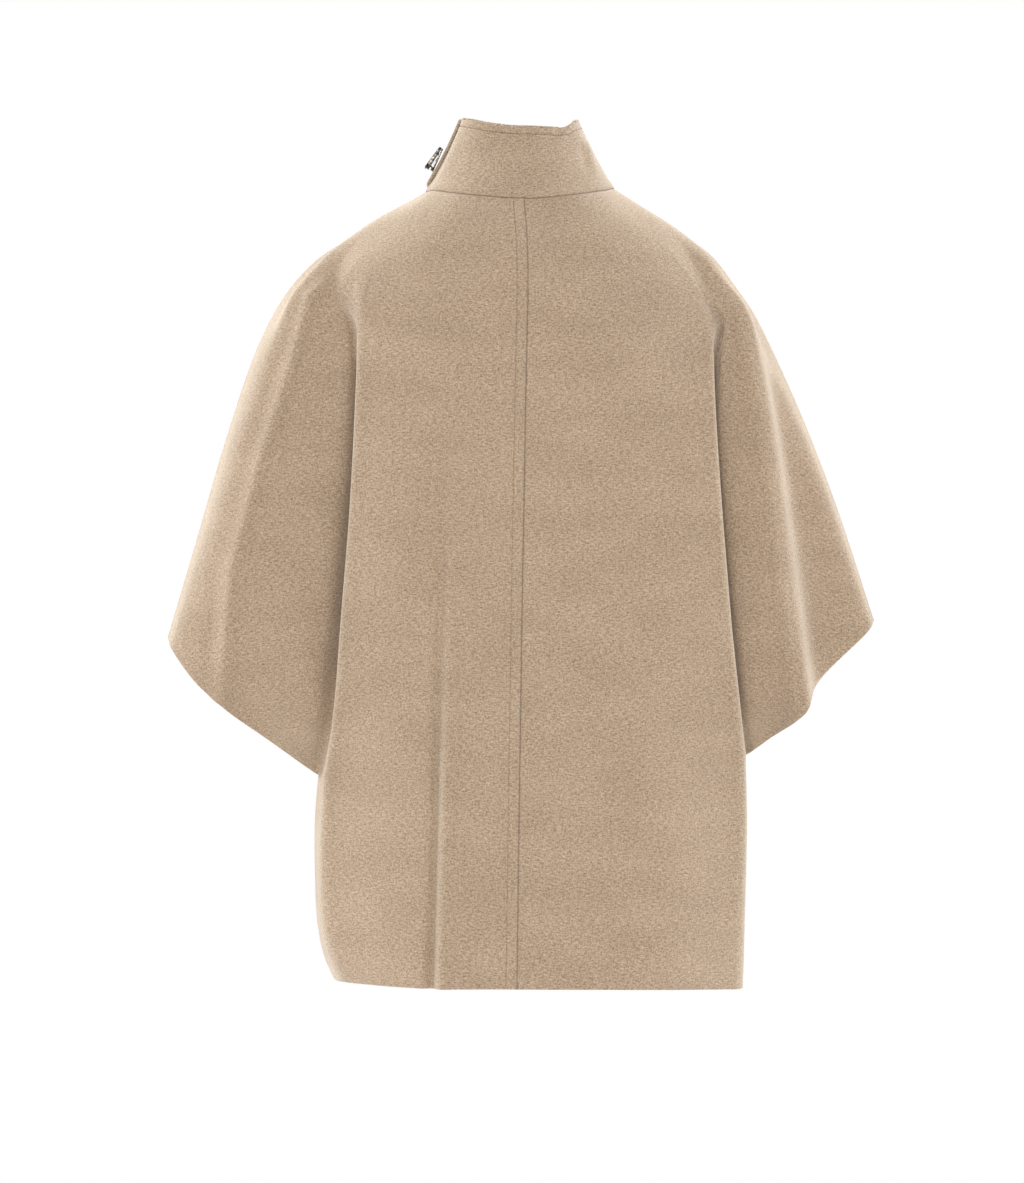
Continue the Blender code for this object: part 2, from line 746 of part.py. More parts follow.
def make_clasp(look):
    """The clasp in its own frame: +X out of the collar, +Z up, hung on an empty at its foot."""
    frame = bpy.data.objects.new("clasp_frame", None)
    bpy.context.collection.objects.link(frame)
    foot, top = neck_point(CLASP_ANGLE), top_point(CLASP_ANGLE)
    share = CLASP_SHARE
    inward = math.sin(math.pi * share) * COLLAR_HOLLOW
    turn = math.radians(90.0 - CLASP_ANGLE)
    out = np.array([math.cos(turn), math.sin(turn), 0.0])
    seat = foot + (top - foot) * share - out * inward
    rise = top - foot
    lean = math.atan2(-float(rise @ out), rise[2]) - math.radians(CLASP_UPRIGHT)
    frame.rotation_euler = (0.0, -lean, turn)
    frame.location = tuple((seat + out * CLASP_STAND) * MM)
    plate = rounded_plate("clasp_plate", PLATE_SIZE, 3.0, look)
    lever = rounded_plate("clasp_lever", LEVER_SIZE, 4.5, look)
    lever.location = (LEVER_FOOT_OUT * MM, 0.0, 0.0)
    lever.rotation_euler = (0.0, -math.radians(LEVER_CLOSE), 0.0)
    link = bent_link("clasp_link", look)
    link_out = (LEVER_FOOT_OUT + LEVER_SIZE[0] / 2.0 + PLATE_SIZE[0] / 2.0) / 2.0
    link.location = (link_out * MM, 0.0, -SEAM_GAP * MM)
    pieces = [plate, lever, link]
    for name, high in (("clasp_rivet_upper", 0.72), ("clasp_rivet_lower", 0.4)):
        head = rivet(name, look)
        head.location = ((PLATE_SIZE[0] + 0.3 + RIVET_HIGH / 2.0) * MM, 0.0, PLATE_SIZE[2] * high * MM)
        pieces.append(head)
    for piece in pieces:
        piece.parent = frame


def main():
    clear_scene()
    wool = material("wool_cloth", WOOL, 0.95, 0.0)
    metal = material("gunmetal", GUNMETAL, 0.32, 1.0)
    for panel in make_cloth():
        panel.build(wool)
    make_clasp(metal)


main()
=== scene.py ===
# %% [markdown]
# # A wool cape with a funnel collar
#
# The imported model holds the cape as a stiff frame: two backs, two fronts, a collar and a clasp. This
# lesson gives it the look of the real thing: brushed heather wool that turns softly over its folds, with
# seams, topstitching, pressed hems and an aged metal clasp.

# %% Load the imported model
import math

import bpy
import numpy as np
from mathutils import Matrix, Vector


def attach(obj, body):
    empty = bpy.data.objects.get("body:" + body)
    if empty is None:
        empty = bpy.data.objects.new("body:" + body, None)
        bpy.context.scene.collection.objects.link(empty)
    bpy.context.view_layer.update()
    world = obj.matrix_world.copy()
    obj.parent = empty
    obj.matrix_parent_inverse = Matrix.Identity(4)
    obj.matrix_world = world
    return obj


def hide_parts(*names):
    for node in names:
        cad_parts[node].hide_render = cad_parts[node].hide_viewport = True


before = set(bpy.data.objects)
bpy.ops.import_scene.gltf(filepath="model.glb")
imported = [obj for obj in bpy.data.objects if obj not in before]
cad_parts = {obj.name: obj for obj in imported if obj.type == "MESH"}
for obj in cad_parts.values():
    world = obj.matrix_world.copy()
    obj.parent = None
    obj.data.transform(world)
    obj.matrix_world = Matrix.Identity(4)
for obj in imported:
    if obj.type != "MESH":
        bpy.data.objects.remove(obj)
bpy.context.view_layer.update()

# %% [markdown]
# ## The studio
#
# The cape is seen from the back, level with its middle, by a long lens. It hangs in a white room: a white
# world lights it evenly all round, so the cloth's own colour shows. A softbox above the camera keeps the
# sleeves light up to the folds. Two more stand beside the cape and one above it, all a little in front of
# the wearer: they graze the cloth, so ridges and shoulders get bright edges and a shallow fold still reads.
# The one above is warm, because the real cape is warmest where its shoulders catch the light.

# %% Camera
SHOT_OUT, SHOT_AWAY, SHOT_HEIGHT = 0.00855, 4.2, -0.3674
LENS, SENSOR = 134.5, 36.0

scene = bpy.context.scene
scene.view_settings.view_transform = "Standard"
bpy.ops.object.camera_add(
    location=(SHOT_OUT, SHOT_AWAY, SHOT_HEIGHT), rotation=(math.pi / 2, 0.0, math.pi)
)
camera = bpy.context.object
camera.name = "camera"
camera.data.sensor_fit = "VERTICAL"
camera.data.sensor_height = SENSOR
camera.data.lens = LENS
scene.camera = camera
print("Camera", tuple(round(v, 4) for v in camera.location))

# %% White room
WHITE = (1.0, 1.0, 1.0)
WORLD_LIGHT = 1.0
# Name, place, what it faces, size, power, colour
SOFTBOXES = [
    ("softbox_front", (0.2, 4.6, 1.0), (0.0, 0.0, -0.35), 1.2, 116.0, (1.0, 0.97, 0.92)),
    ("softbox_left", (2.7, -0.55, 0.4), (0.2, 0.0, -0.3), 1.0, 62.0, WHITE),
    ("softbox_right", (-2.7, -0.7, 0.4), (-0.2, 0.0, -0.3), 1.0, 55.0, WHITE),
    ("softbox_above", (0.2, -1.3, 2.6), (0.0, 0.0, -0.1), 1.2, 43.0, (1.0, 0.88, 0.66)),
]

world = bpy.data.worlds.new("white_room")
world.use_nodes = True
world.node_tree.nodes["Background"].inputs["Color"].default_value = (*WHITE, 1.0)
world.node_tree.nodes["Background"].inputs["Strength"].default_value = WORLD_LIGHT
scene.world = world


def softbox(name, place, target, size, power, colour):
    """A square area light at a place, turned to face a target."""
    way = Vector(target) - Vector(place)
    bpy.ops.object.light_add(type="AREA", location=place, rotation=way.to_track_quat("-Z", "Y").to_euler())
    lamp = bpy.context.object
    lamp.name = name
    lamp.data.size = size
    lamp.data.energy = power
    lamp.data.color = colour


for row in SOFTBOXES:
    softbox(*row)
print("White room with", len(SOFTBOXES), "softboxes")

# %% Floor
FLOOR_HEIGHT, FLOOR_RADIUS = -1.3, 2.1
FLOOR_COLOUR, FLOOR_ROUGHNESS = (0.86, 0.86, 0.85, 1.0), 0.8

bpy.ops.mesh.primitive_circle_add(
    vertices=128, radius=FLOOR_RADIUS, fill_type="NGON", location=(0, 0, FLOOR_HEIGHT)
)
floor = bpy.context.object
floor.name = "floor"
pale = bpy.data.materials.new("pale_floor")
pale.use_nodes = True
pale.node_tree.nodes["Principled BSDF"].inputs["Base Color"].default_value = FLOOR_COLOUR
pale.node_tree.nodes["Principled BSDF"].inputs["Roughness"].default_value = FLOOR_ROUGHNESS
floor.data.materials.append(pale)
print("Floor at", FLOOR_HEIGHT)

# %% [markdown]
# ## The form of the cape
#
# A cape like this has almost no small parts: its whole character is one big sheet that falls from the
# neck, turns over the shoulders, folds in behind the arms and opens again into the sleeves. It could be
# sculpted or simulated, but here the folds must lie exactly on the frame. So the sheet is computed: each
# row runs from the centre seam round to the overarm seam or the side seam. It passes through anchors,
# twelve down to the underarm and six below it, and smooth curves through short tables say where those are.
# Sizes are in millimetres.

# %% Smooth curves through tables
def smooth(low, high, value):
    """Smooth rise from 0 at low to 1 at high."""
    share = np.clip((np.asarray(value, dtype=float) - low) / (high - low), 0.0, 1.0)
    return share * share * (3.0 - 2.0 * share)


def hermite(u, a, da, b, db):
    """Values at shares u of a cubic curve from a to b, with slope da at its start and db at its end."""
    return (
        (2 * u**3 - 3 * u**2 + 1) * a
        + (u**3 - 2 * u**2 + u) * da
        + (3 * u**2 - 2 * u**3) * b
        + (u**3 - u**2) * db
    )


def through(table, keys):
    """The columns of a table at keys between its rows, on a smooth curve through the rows."""
    rows = np.array(table, dtype=float)
    if rows[0, 0] > rows[-1, 0]:
        rows = rows[::-1]
    at, values = rows[:, 0], rows[:, 1:]
    chords = np.diff(values, axis=0) / np.diff(at)[:, None]
    slopes = np.vstack([chords[:1], (chords[1:] + chords[:-1]) / 2.0, chords[-1:]])
    keys = np.clip(np.asarray(keys, dtype=float), at[0], at[-1])
    i = np.clip(np.searchsorted(at, keys, side="right") - 1, 0, len(at) - 2)
    width = (at[i + 1] - at[i])[..., None]
    u = (keys - at[i])[..., None] / width
    return hermite(u, values[i], width * slopes[i], values[i + 1], width * slopes[i + 1])


def along_rows(anchors, stretch, share):
    """Points on one curve for each row, at shares of the stretches between that row's anchors."""
    chord = np.diff(anchors, axis=1)
    gap = np.linalg.norm(chord, axis=2) ** 0.5 + 1e-6
    slope = chord / gap[..., None]
    both = (gap[:, :-1] + gap[:, 1:])[..., None]
    inner = (slope[:, :-1] * gap[:, 1:, None] + slope[:, 1:] * gap[:, :-1, None]) / both
    tangent = np.concatenate([slope[:, :1], inner, slope[:, -1:]], axis=1)
    wide = gap[:, stretch][..., None]
    return hermite(
        share[..., None],
        anchors[:, stretch],
        wide * tangent[:, stretch],
        anchors[:, stretch + 1],
        wide * tangent[:, stretch + 1],
    )


# %% Sizes of the cloth and its seams
# The tables are in millimetres, and a mesh is in metres
MM = 0.001
CLOTH = 2.4
COLLAR_CLOTH = 3.0
SEAM_GAP = 0.06
LAP_DROP = 3.6
LAP_REACH = 36.0
STRIP_WIDTH = 10.8
STRIP_RISE = 0.7
STRIP_STEP = 1.6
STITCH_FROM_SEAM = 9.9
STITCH_FROM_EDGE = 9.5

# %% [markdown]
# The neckline and the collar's top edge are two rings. Each has its own width to the left and right, and
# its height changes round the neck: high at the sides, low at the front.

# %% Neckline and collar top
NECK_OUT = {"left": 92.5, "right": 88.5}
NECK_BACK, NECK_FRONT = 72.0, -82.0
NECK_HEIGHTS = [(0, 0.0), (32, 4.5), (60, 10.5), (90, 14.5), (120, -1.0), (150, -40.0), (180, -62.0)]
TOP_OUT = {"left": 58.5, "right": 54.5}
TOP_BACK, TOP_FRONT = 46.0, -66.0
# Power of the top edge's outline: 2 is an ellipse, and more is squarer
TOP_SQUARE = 2.5
TOP_HEIGHTS = {
    "left": [(0, 71.5), (25, 74.0), (50, 79.5), (75, 82.5), (90, 82), (120, 64), (150, 31), (180, 14)],
    "right": [(0, 71.5), (40, 71.0), (62, 73.0), (75, 80.0), (90, 81), (120, 64), (150, 31), (180, 14)],
}


def height_round(table, degrees):
    """Heights round the neck, level at the centre back and the centre front."""
    turned = np.abs((degrees + 180.0) % 360.0 - 180.0)
    low = (-table[1][0], table[1][1])
    high = (360.0 - table[-2][0], table[-2][1])
    return through([low] + table + [high], turned)[..., 0]


def neck_points(degrees):
    """Points on the neckline, by their angle from the centre back towards the wearer's left."""
    degrees = np.asarray(degrees, dtype=float)
    turn = np.radians(degrees)
    middle, reach = (NECK_BACK + NECK_FRONT) / 2.0, (NECK_BACK - NECK_FRONT) / 2.0
    out = np.where(np.sin(turn) >= 0.0, NECK_OUT["left"], NECK_OUT["right"])
    height = height_round(NECK_HEIGHTS, degrees)
    return np.stack([out * np.sin(turn), middle + reach * np.cos(turn), height], axis=-1)


def top_points(degrees):
    """Points on the collar's top edge, whose outline is a little squarer than the neckline's."""
    degrees = np.asarray(degrees, dtype=float)
    turn = np.radians(degrees)
    middle, reach = (TOP_BACK + TOP_FRONT) / 2.0, (TOP_BACK - TOP_FRONT) / 2.0
    sine, cosine = np.sin(turn), np.cos(turn)
    left = sine >= 0.0
    square = (np.abs(sine) ** TOP_SQUARE + np.abs(cosine) ** TOP_SQUARE) ** (-1 / TOP_SQUARE)
    height = np.where(
        left, height_round(TOP_HEIGHTS["left"], degrees), height_round(TOP_HEIGHTS["right"], degrees)
    )
    out = np.where(left, TOP_OUT["left"], TOP_OUT["right"])
    return np.stack([out * square * sine, middle + reach * square * cosine, height], axis=-1)


def neck_side(angles, side, face):
    """Points on the neckline, by their angle from the centre seam, with their distance out positive."""
    angles = np.asarray(angles, dtype=float)
    turned = angles if face == "back" else 180.0 - angles
    points = neck_points(turned if side == "left" else -turned)
    points[..., 0] = np.abs(points[..., 0])
    return points


def neck_angle(points):
    """Degrees round the neck from the centre back, by either side, for points on the neckline."""
    middle, reach = (NECK_BACK + NECK_FRONT) / 2.0, (NECK_BACK - NECK_FRONT) / 2.0
    out = np.where(points[..., 0] >= 0.0, NECK_OUT["left"], NECK_OUT["right"])
    return np.abs(np.degrees(np.arctan2(points[..., 0] / out, (points[..., 1] - middle) / reach)))


neck_steps = np.diff(neck_points(np.arange(361)), axis=0)
print("Neck seam round", round(float(np.linalg.norm(neck_steps, axis=1).sum())), "mm")

# %% [markdown]
# The tables below are the drape itself. A row is 0 at the neckline and 1 at the underarm. The overarm seam
# is the outline from the neck to the sleeve's corner, the fold edge is where the back hangs over the
# sleeve, and the ridge is the long soft fold down the sleeve.

# %% Tables of the drape
# Row, back height, back distance, front height, front distance
CENTRE = [
    (0.00, 0, 72, -62, -82),
    (0.10, -52, 93, -106, -96),
    (0.24, -128, 107, -172, -112),
    (0.45, -239, 115, -270, -121),
    (0.65, -346, 119, -362, -122),
    (0.80, -426, 121, -434, -120),
    (1.00, -532, 123, -532, -117),
]

# Row, out, height
OVERARM = {
    "left": [
        (0.00, 92.5, 14.5),
        (0.08, 125, -6.5),
        (0.16, 158, -29),
        (0.24, 193, -51),
        (0.32, 221, -81),
        (0.45, 250, -134),
        (0.60, 277, -211),
        (0.80, 307, -313),
        (1.00, 336, -411),
    ],
    "right": [
        (0.00, 88.5, 14.5),
        (0.08, 121, -7),
        (0.16, 150, -26),
        (0.24, 181, -48),
        (0.32, 205, -79),
        (0.40, 222, -104),
        (0.50, 241, -142),
        (0.65, 271, -210),
        (0.80, 300, -286),
        (1.00, 336, -395),
    ],
}

# Row, out, distance back, height, then the valley behind the edge: how far out of it, and how deep
FOLD = {
    "left": [
        (0.16, 138, 66, -50, 4, 0),
        (0.24, 160, 68, -92, 6, 5),
        (0.32, 153, 80, -128, 3, 20),
        (0.45, 154.5, 87, -205, -3, 40),
        (0.60, 159.5, 90, -300, -3, 47),
        (0.80, 169.5, 88, -420, -1, 46),
        (0.93, 176, 81, -497, 4, 46),
        (1.00, 184, 68, -540, 9, 68),
    ],
    "right": [
        (0.16, 128, 66, -48, 4, 0),
        (0.24, 158, 64, -84, 6, 2),
        (0.32, 181, 62, -112, 8, 8),
        (0.40, 179, 78, -148, 4, 24),
        (0.50, 181, 85, -208, -2, 39),
        (0.65, 187, 88, -300, -3, 47),
        (0.80, 196, 86, -405, -2, 47),
        (0.93, 204.5, 78, -483, 2, 46),
        (1.00, 209, 66, -521, 5, 66),
    ],
}

# Row, out, distance back, height, then the dip outside the ridge: its share of the way to the overarm
# seam, its distance back and its height
RIDGE = {
    "left": [
        (0.16, 150, 38, -38, 0.5, 26, -33),
        (0.24, 180, 44, -64, 0.5, 32, -57),
        (0.32, 206, 50, -92, 0.5, 38, -86),
        (0.45, 223, 57, -158, 0.45, 44, -146),
        (0.60, 249, 60, -240, 0.4, 47, -228),
        (0.80, 278, 58, -351, 0.4, 44, -337),
        (1.00, 289, 50, -470, 0.4, 40, -452),
    ],
    "right": [
        (0.16, 143, 38, -35, 0.5, 24, -30),
        (0.24, 172, 42, -58, 0.5, 28, -52),
        (0.32, 198, 48, -84, 0.4, 32, -82),
        (0.40, 214, 55, -110, 0.4, 34, -107),
        (0.50, 225, 61, -161, 0.4, 34, -152),
        (0.65, 238.5, 63, -251, 0.32, 34, -234),
        (0.80, 251, 60, -351, 0.28, 30, -327),
        (1.00, 269, 52, -480, 0.2, 17, -452),
    ],
}

# Below the underarm: height, side seam out, edge out, edge back
BODY = {
    "left": [
        (-540, 193, 184, 68),
        (-580, 196, 186, 67),
        (-630, 196, 187, 66),
        (-680, 193.5, 184, 66),
        (-712, 187, 177, 66),
        (-733, 178, 168, 64),
    ],
    "right": [
        (-521, 214, 209, 66),
        (-580, 211, 210.5, 62),
        (-630, 209, 209.5, 61),
        (-680, 207, 208, 60),
        (-715, 205.5, 207, 60),
        (-740, 204.5, 206, 60),
    ],
}
# The hem at the centre: height, and distance behind and before the neck's axis
HEM_CENTRE, HEM_BACK, HEM_FRONT = -734.5, 126.0, -115.0

# The soft flare fold in the left back: height, out, depth
FLARE = [(-200, 69, 0), (-330, 72.5, 2.2), (-500, 76.5, 4.6), (-733, 82, 5.6)]
FLARE_WIDTH = 5.5
# The low ridge beside it, as shares of its depth and width
FLARE_RIDGE, FLARE_RIDGE_WIDTH = 0.4, 1.3
# It fades out where the cloth is less than this far back, and beside the seam's strip
FLARE_BACK_FROM, FLARE_BACK_FULL, FLARE_OUT_FULL = 85.0, 100.0, 30.0
print("Drape tables:", sum(len(t[side]) for t in (OVERARM, FOLD, RIDGE, BODY) for side in t), "rows")

# %% [markdown]
# High on the shoulders there are no folds, and a row is a ring round the neck. Lower down it has the
# panel, the fold behind its edge, and the sleeve. The two kinds of row are mixed as the folds begin. Below
# the underarm a row ends at the side seam.

# %% Rows on the shoulders
# Where a ring's anchors are, in degrees round the neck from the centre to the overarm seam
ANCHOR_ANGLES = np.array([0, 36, 50, 56, 60, 64, 68, 73, 79, 84, 88, 90], dtype=float)
# The first ring is the neckline itself, and by this row nothing of its own outline is left
NECK_ROWS = 0.12


def rings(row, side, face):
    """Anchors of rows high on the shoulders: rings round the neck."""
    centre = through(CENTRE, row)
    middle_z, middle_y = (centre[:, 0], centre[:, 1]) if face == "back" else (centre[:, 2], centre[:, 3])
    neck_y = NECK_BACK if face == "back" else NECK_FRONT
    over = through(OVERARM[side], row)
    low, high = neck_side([0.0, 90.0], side, face)[:, 2]
    share = smooth(0.0, NECK_ROWS, row)[:, None, None]
    sine, cosine = np.sin(np.radians(ANCHOR_ANGLES)), np.cos(np.radians(ANCHOR_ANGLES))
    at_neck = neck_side(ANCHOR_ANGLES, side, face)
    rise = (at_neck[:, 2] - low) / (high - low)
    height = middle_z[:, None] + (over[:, 1] - middle_z)[:, None] * rise
    ring = np.stack([over[:, 0][:, None] * sine, middle_y[:, None] * cosine, height], axis=-1)
    level = np.stack([NECK_OUT[side] * sine, neck_y * cosine], axis=-1)
    shift = np.concatenate([at_neck[:, :2] - level, np.zeros((len(sine), 1))], axis=1)
    made = (ring + shift) * (1 - share) + ring * share
    made[:, 0, 0], made[:, 0, 1] = 0.0, middle_y
    return made


# %% Rows with the folds
# The panel's middle anchor: its share of the way out to the edge and down to it, and its fall forwards
MIDDLE_OUT, MIDDLE_DOWN, MIDDLE_FALL = 0.47, 0.25, 5.0
# Where the panel starts to turn into its edge: how far in, how far back and its share of the way down
TURN_IN, TURN_RISE, TURN_DOWN = 17.0, 9.0, 0.8
# It rises more where the fold is still shallow, and towards the hem
TURN_SHALLOW, TURN_HEM = 4.0, 7.0
# The fold counts as turned from one depth to the other, and then its wall leans in under the edge
TURNED_FROM, TURNED_FULL, RECESS_IN = 8.0, 30.0, 5.0
# The wall's middle and the valley lie this much below the edge, and at the hem the wall leans out
WALL_DROP, VALLEY_DROP, HEM_OUT = 1.0, 2.0, 2.0
# The sleeve between valley and ridge: share of the way, share of the rise to the ridge, fullness
SLEEVE_FULL = [(0.13, 0.56, 7.0), (0.42, 0.86, 4.5)]
# Its sag there, and the fullness outside the ridge
SLEEVE_SAG, OUTER_FULL = 4.0, 4.5
# From this row down the sleeve opens into the underarm, and loses these shares of rise and fullness
OPEN_FROM, OPEN_RISE, OPEN_FULL = 0.82, 0.6, 1.3
# The last anchor before the overarm seam: how far in, its sag, and its share of the dip's distance back
RIM_IN, RIM_SAG, RIM_SHARE = 6.0, 3.0, 0.62
# The fronts are flatter than the back: shares of its depths, and of its drop and dip
FRONT_DEPTH, FRONT_RIDGE, FRONT_DROP, FRONT_DIP, FRONT_DIP_RIDGE = 0.93, 0.9, 0.4, 0.5, 0.36
# The tables of the folds start at this row
FIRST_FOLD_ROW = 0.16


def middle_out(side, face, height, edge_x):
    """How far out a panel's middle anchor is: on the flare fold in the left back."""
    if side == "left" and face == "back":
        return through(FLARE, height)[..., 0]
    return MIDDLE_OUT * edge_x


def middle_anchor(mid_x, edge_x, middle_y, middle_z, edge_z):
    """The anchor between the centre seam and the panel's edge."""
    share = mid_x / edge_x
    return (mid_x, middle_y - MIDDLE_FALL * share, middle_z + MIDDLE_DOWN * share * (edge_z - middle_z))


def folds(row, side, face):
    """Anchors of rows lower down: the panel, the fold behind its edge, and the sleeve."""
    back_z, back_y, front_z, front_y = through(CENTRE, row).T
    edge_x, edge_y, edge_z, valley_out, depth = through(FOLD[side], np.maximum(row, FIRST_FOLD_ROW)).T
    ridge = through(RIDGE[side], np.maximum(row, FIRST_FOLD_ROW)).T
    ridge_x, ridge_y, ridge_z, dip_share, dip_y, dip_z = ridge
    over_x, over_z = through(OVERARM[side], row).T
    middle_y, middle_z = back_y, back_z
    if face == "front":
        middle_y, middle_z = -front_y, front_z
        edge_z = edge_z + FRONT_DROP * (front_z - back_z)
        edge_y, depth = edge_y * FRONT_DEPTH, depth * FRONT_DEPTH
        ridge_y = ridge_y * FRONT_RIDGE
        dip_y = FRONT_DIP * dip_y + FRONT_DIP_RIDGE * ridge_y
    valley_x, valley_y = edge_x + valley_out, edge_y - depth
    turned = smooth(TURNED_FROM, TURNED_FULL, depth)
    mid_x = middle_out(side, face, middle_z, edge_x)
    dip_x = ridge_x + dip_share * (over_x - ridge_x)
    rim_x = over_x - RIM_IN
    rim_share = np.clip((rim_x - dip_x) / np.maximum(over_x - dip_x, 2.0 * RIM_IN), 0.0, 1.0)
    rim_z = dip_z + (over_z - dip_z) * rim_share - RIM_SAG * row
    turn_z = middle_z + TURN_DOWN * (edge_z - middle_z)
    anchors = [
        (0.0 * row, middle_y, middle_z),
        middle_anchor(mid_x, edge_x, middle_y, middle_z, edge_z),
        (edge_x - TURN_IN, edge_y + TURN_RISE + TURN_SHALLOW * (1 - turned), turn_z),
        (edge_x, edge_y, edge_z),
        ((edge_x + valley_x) / 2.0 - RECESS_IN * turned, edge_y - 0.5 * depth, edge_z - WALL_DROP),
        (valley_x, valley_y, edge_z - VALLEY_DROP),
    ]
    opened = smooth(OPEN_FROM, 1.0, row)
    for share, rise, full in SLEEVE_FULL:
        out = valley_x + share * (ridge_x - valley_x)
        height = edge_z - VALLEY_DROP + (ridge_z - edge_z + VALLEY_DROP) * share
        height = height - SLEEVE_SAG * share * (1 - share) * row
        rise, full = rise * (1.0 - OPEN_RISE * opened), full * (1.0 - OPEN_FULL * opened)
        anchors.append((out, valley_y + rise * (ridge_y - valley_y) + full, height))
    anchors += [
        (ridge_x, ridge_y, ridge_z),
        (dip_x, dip_y + OUTER_FULL, dip_z),
        (rim_x, RIM_SHARE * (dip_y + OUTER_FULL), rim_z),
        (over_x, 0.0 * row, over_z),
    ]
    made = np.array(anchors).transpose(2, 0, 1)
    if face == "front":
        made[..., 1] *= -1.0
    return made


# %% Rows below the underarm
def body(share, side, face):
    """Anchors of rows below the underarm, from the centre seam to the side seam."""
    top, bottom = BODY[side][0][0], BODY[side][-1][0]
    height = top + (bottom - top) * share
    side_x, edge_x, edge_y = through(BODY[side], height).T
    middle_z = CENTRE[-1][1] + (HEM_CENTRE - CENTRE[-1][1]) * share
    last = CENTRE[-1][2] if face == "back" else -CENTRE[-1][4]
    hem = HEM_BACK if face == "back" else -HEM_FRONT
    middle_y = last + (hem - last) * share
    if face == "front":
        edge_y = edge_y * FRONT_DEPTH
    mid_x = middle_out(side, face, middle_z, edge_x)
    turn_z = middle_z + TURN_DOWN * (height - middle_z)
    wall_x = (edge_x + side_x) / 2.0 - RECESS_IN * (1 - share) ** 3 + HEM_OUT * share
    anchors = [
        (0.0 * share, middle_y, middle_z),
        middle_anchor(mid_x, edge_x, middle_y, middle_z, height),
        (edge_x - TURN_IN, edge_y + TURN_RISE + TURN_HEM * share, turn_z),
        (edge_x, edge_y, height),
        (wall_x, 0.5 * edge_y, height - WALL_DROP),
        (side_x, 0.0 * share, height - VALLEY_DROP),
    ]
    made = np.array(anchors).transpose(2, 0, 1)
    if face == "front":
        made[..., 1] *= -1.0
    return made


# %% [markdown]
# The columns of the sheet lie close together where the cloth bends: beside the centre seam, where the
# raised strip and its stitches run, at the fold edge, and at the ridge.

# %% Rows and columns of the fine sheet
# Rows down to the underarm and below it, and the rows between which the folds come in
CAPE_ROWS, BODY_ROWS = 150, 56
FOLDS_BEGIN, FOLDS_FULL = 0.12, 0.30
# The first columns, by their distance out from the centre, up to the edge of the lap
NEAR_CENTRE = [0, 2.2, 4.6, 7, 8.6, 9.3, 9.9, 10.5, 11.2, 12, 13, 15, 18, 21.5, 24.5, 26.5, 28.5, 32, 36]
# Columns in the rest of the first stretch, and in each stretch after it
BEYOND_LAP = 14
STRETCH_COLUMNS = (34, 9, 11, 9, 7, 12, 15, 8, 8, 8)


def near_shares(anchors, outs):
    """Shares of the first stretch at which each row passes the given distances out from the centre."""
    u = np.linspace(0.0, 1.0, 61)
    path = along_rows(anchors, np.zeros(len(u), dtype=int), np.tile(u, (len(anchors), 1)))[..., 0]
    return np.array([np.interp(outs, row_x, u) for row_x in path])


def column_plan(count):
    """For the columns after the first stretch: which stretch each lies in, and its share of it."""
    stretch, share = [], []
    for number, columns in enumerate(STRETCH_COLUMNS[: count - 1]):
        stretch += [number + 1] * columns
        share += list(np.arange(columns) / columns)
    stretch.append(stretch[-1])
    share.append(1.0)
    return np.array(stretch), np.array(share)


def fine_rows(anchors):
    """All columns of the rows that pass through the anchors."""
    near = near_shares(anchors, NEAR_CENTRE)
    last = near[:, -1:]
    far = last + (1.0 - last) * (np.arange(1, BEYOND_LAP) / BEYOND_LAP)
    first = np.concatenate([near, far], axis=1)
    stretch, share = column_plan(anchors.shape[1] - 1)
    every = np.concatenate([first, np.tile(share, (len(anchors), 1))], axis=1)
    return along_rows(anchors, np.concatenate([np.zeros(first.shape[1], dtype=int), stretch]), every)


def half_sheet(side, face):
    """One half of the back or front: rows down to the underarm, then rows down to the hem."""
    row = np.arange(CAPE_ROWS + 1) / CAPE_ROWS
    mixed = smooth(FOLDS_BEGIN, FOLDS_FULL, row)[:, None, None]
    cape = fine_rows(rings(row, side, face) * (1 - mixed) + folds(row, side, face) * mixed)
    low = fine_rows(body(np.arange(1, BODY_ROWS + 1) / BODY_ROWS, side, face))
    if side == "left" and face == "back":
        add_flare(cape)
        add_flare(low)
    angles = np.degrees(np.arcsin(np.minimum(cape[0, :, 0] / NECK_OUT[side], 1.0)))
    cape[0] = neck_side(angles, side, face)
    return cape, low


def add_flare(points):
    """The soft vertical fold of the left back: a trough with a low ridge on its centre side."""
    out, depth = through(FLARE, points[..., 2]).transpose(2, 0, 1)
    depth = depth * smooth(FLARE_BACK_FROM, FLARE_BACK_FULL, points[..., 1])
    depth = depth * smooth(STRIP_WIDTH, FLARE_OUT_FULL, points[..., 0])
    points[..., 1] -= depth * np.exp(-(((points[..., 0] - out) / FLARE_WIDTH) ** 2))
    beside = (points[..., 0] - out + 2 * FLARE_WIDTH) / (FLARE_RIDGE_WIDTH * FLARE_WIDTH)
    points[..., 1] += FLARE_RIDGE * depth * np.exp(-(beside**2))


halves = {(side, face): half_sheet(side, face) for side in ("left", "right") for face in ("back", "front")}
print("Rows and columns:", halves["left", "back"][0].shape[:2], halves["left", "back"][1].shape[:2])

# %% [markdown]
# ## A sheet with a wall and soft edges
#
# Wool coating is about 2.4 mm thick, and its edges are folded and pressed, so they are round. Solidify
# could give a thickness, but here neighbours must mitre at their seams, hems and seam allowances make the
# inside thicker, and the stitching sinks in. So a small class keeps the grid and finds its normals and its
# rim, from which the wall with its rounded edge is built further down.

# %% The sheet class
def grid_quads(grid):
    """The four-sided faces between neighbouring points of a grid, which has -1 where it has no point."""
    quads = np.stack([grid[:-1, :-1], grid[1:, :-1], grid[1:, 1:], grid[:-1, 1:]], axis=-1)
    quads = quads.reshape(-1, 4)
    return quads[(quads >= 0).all(axis=1)]


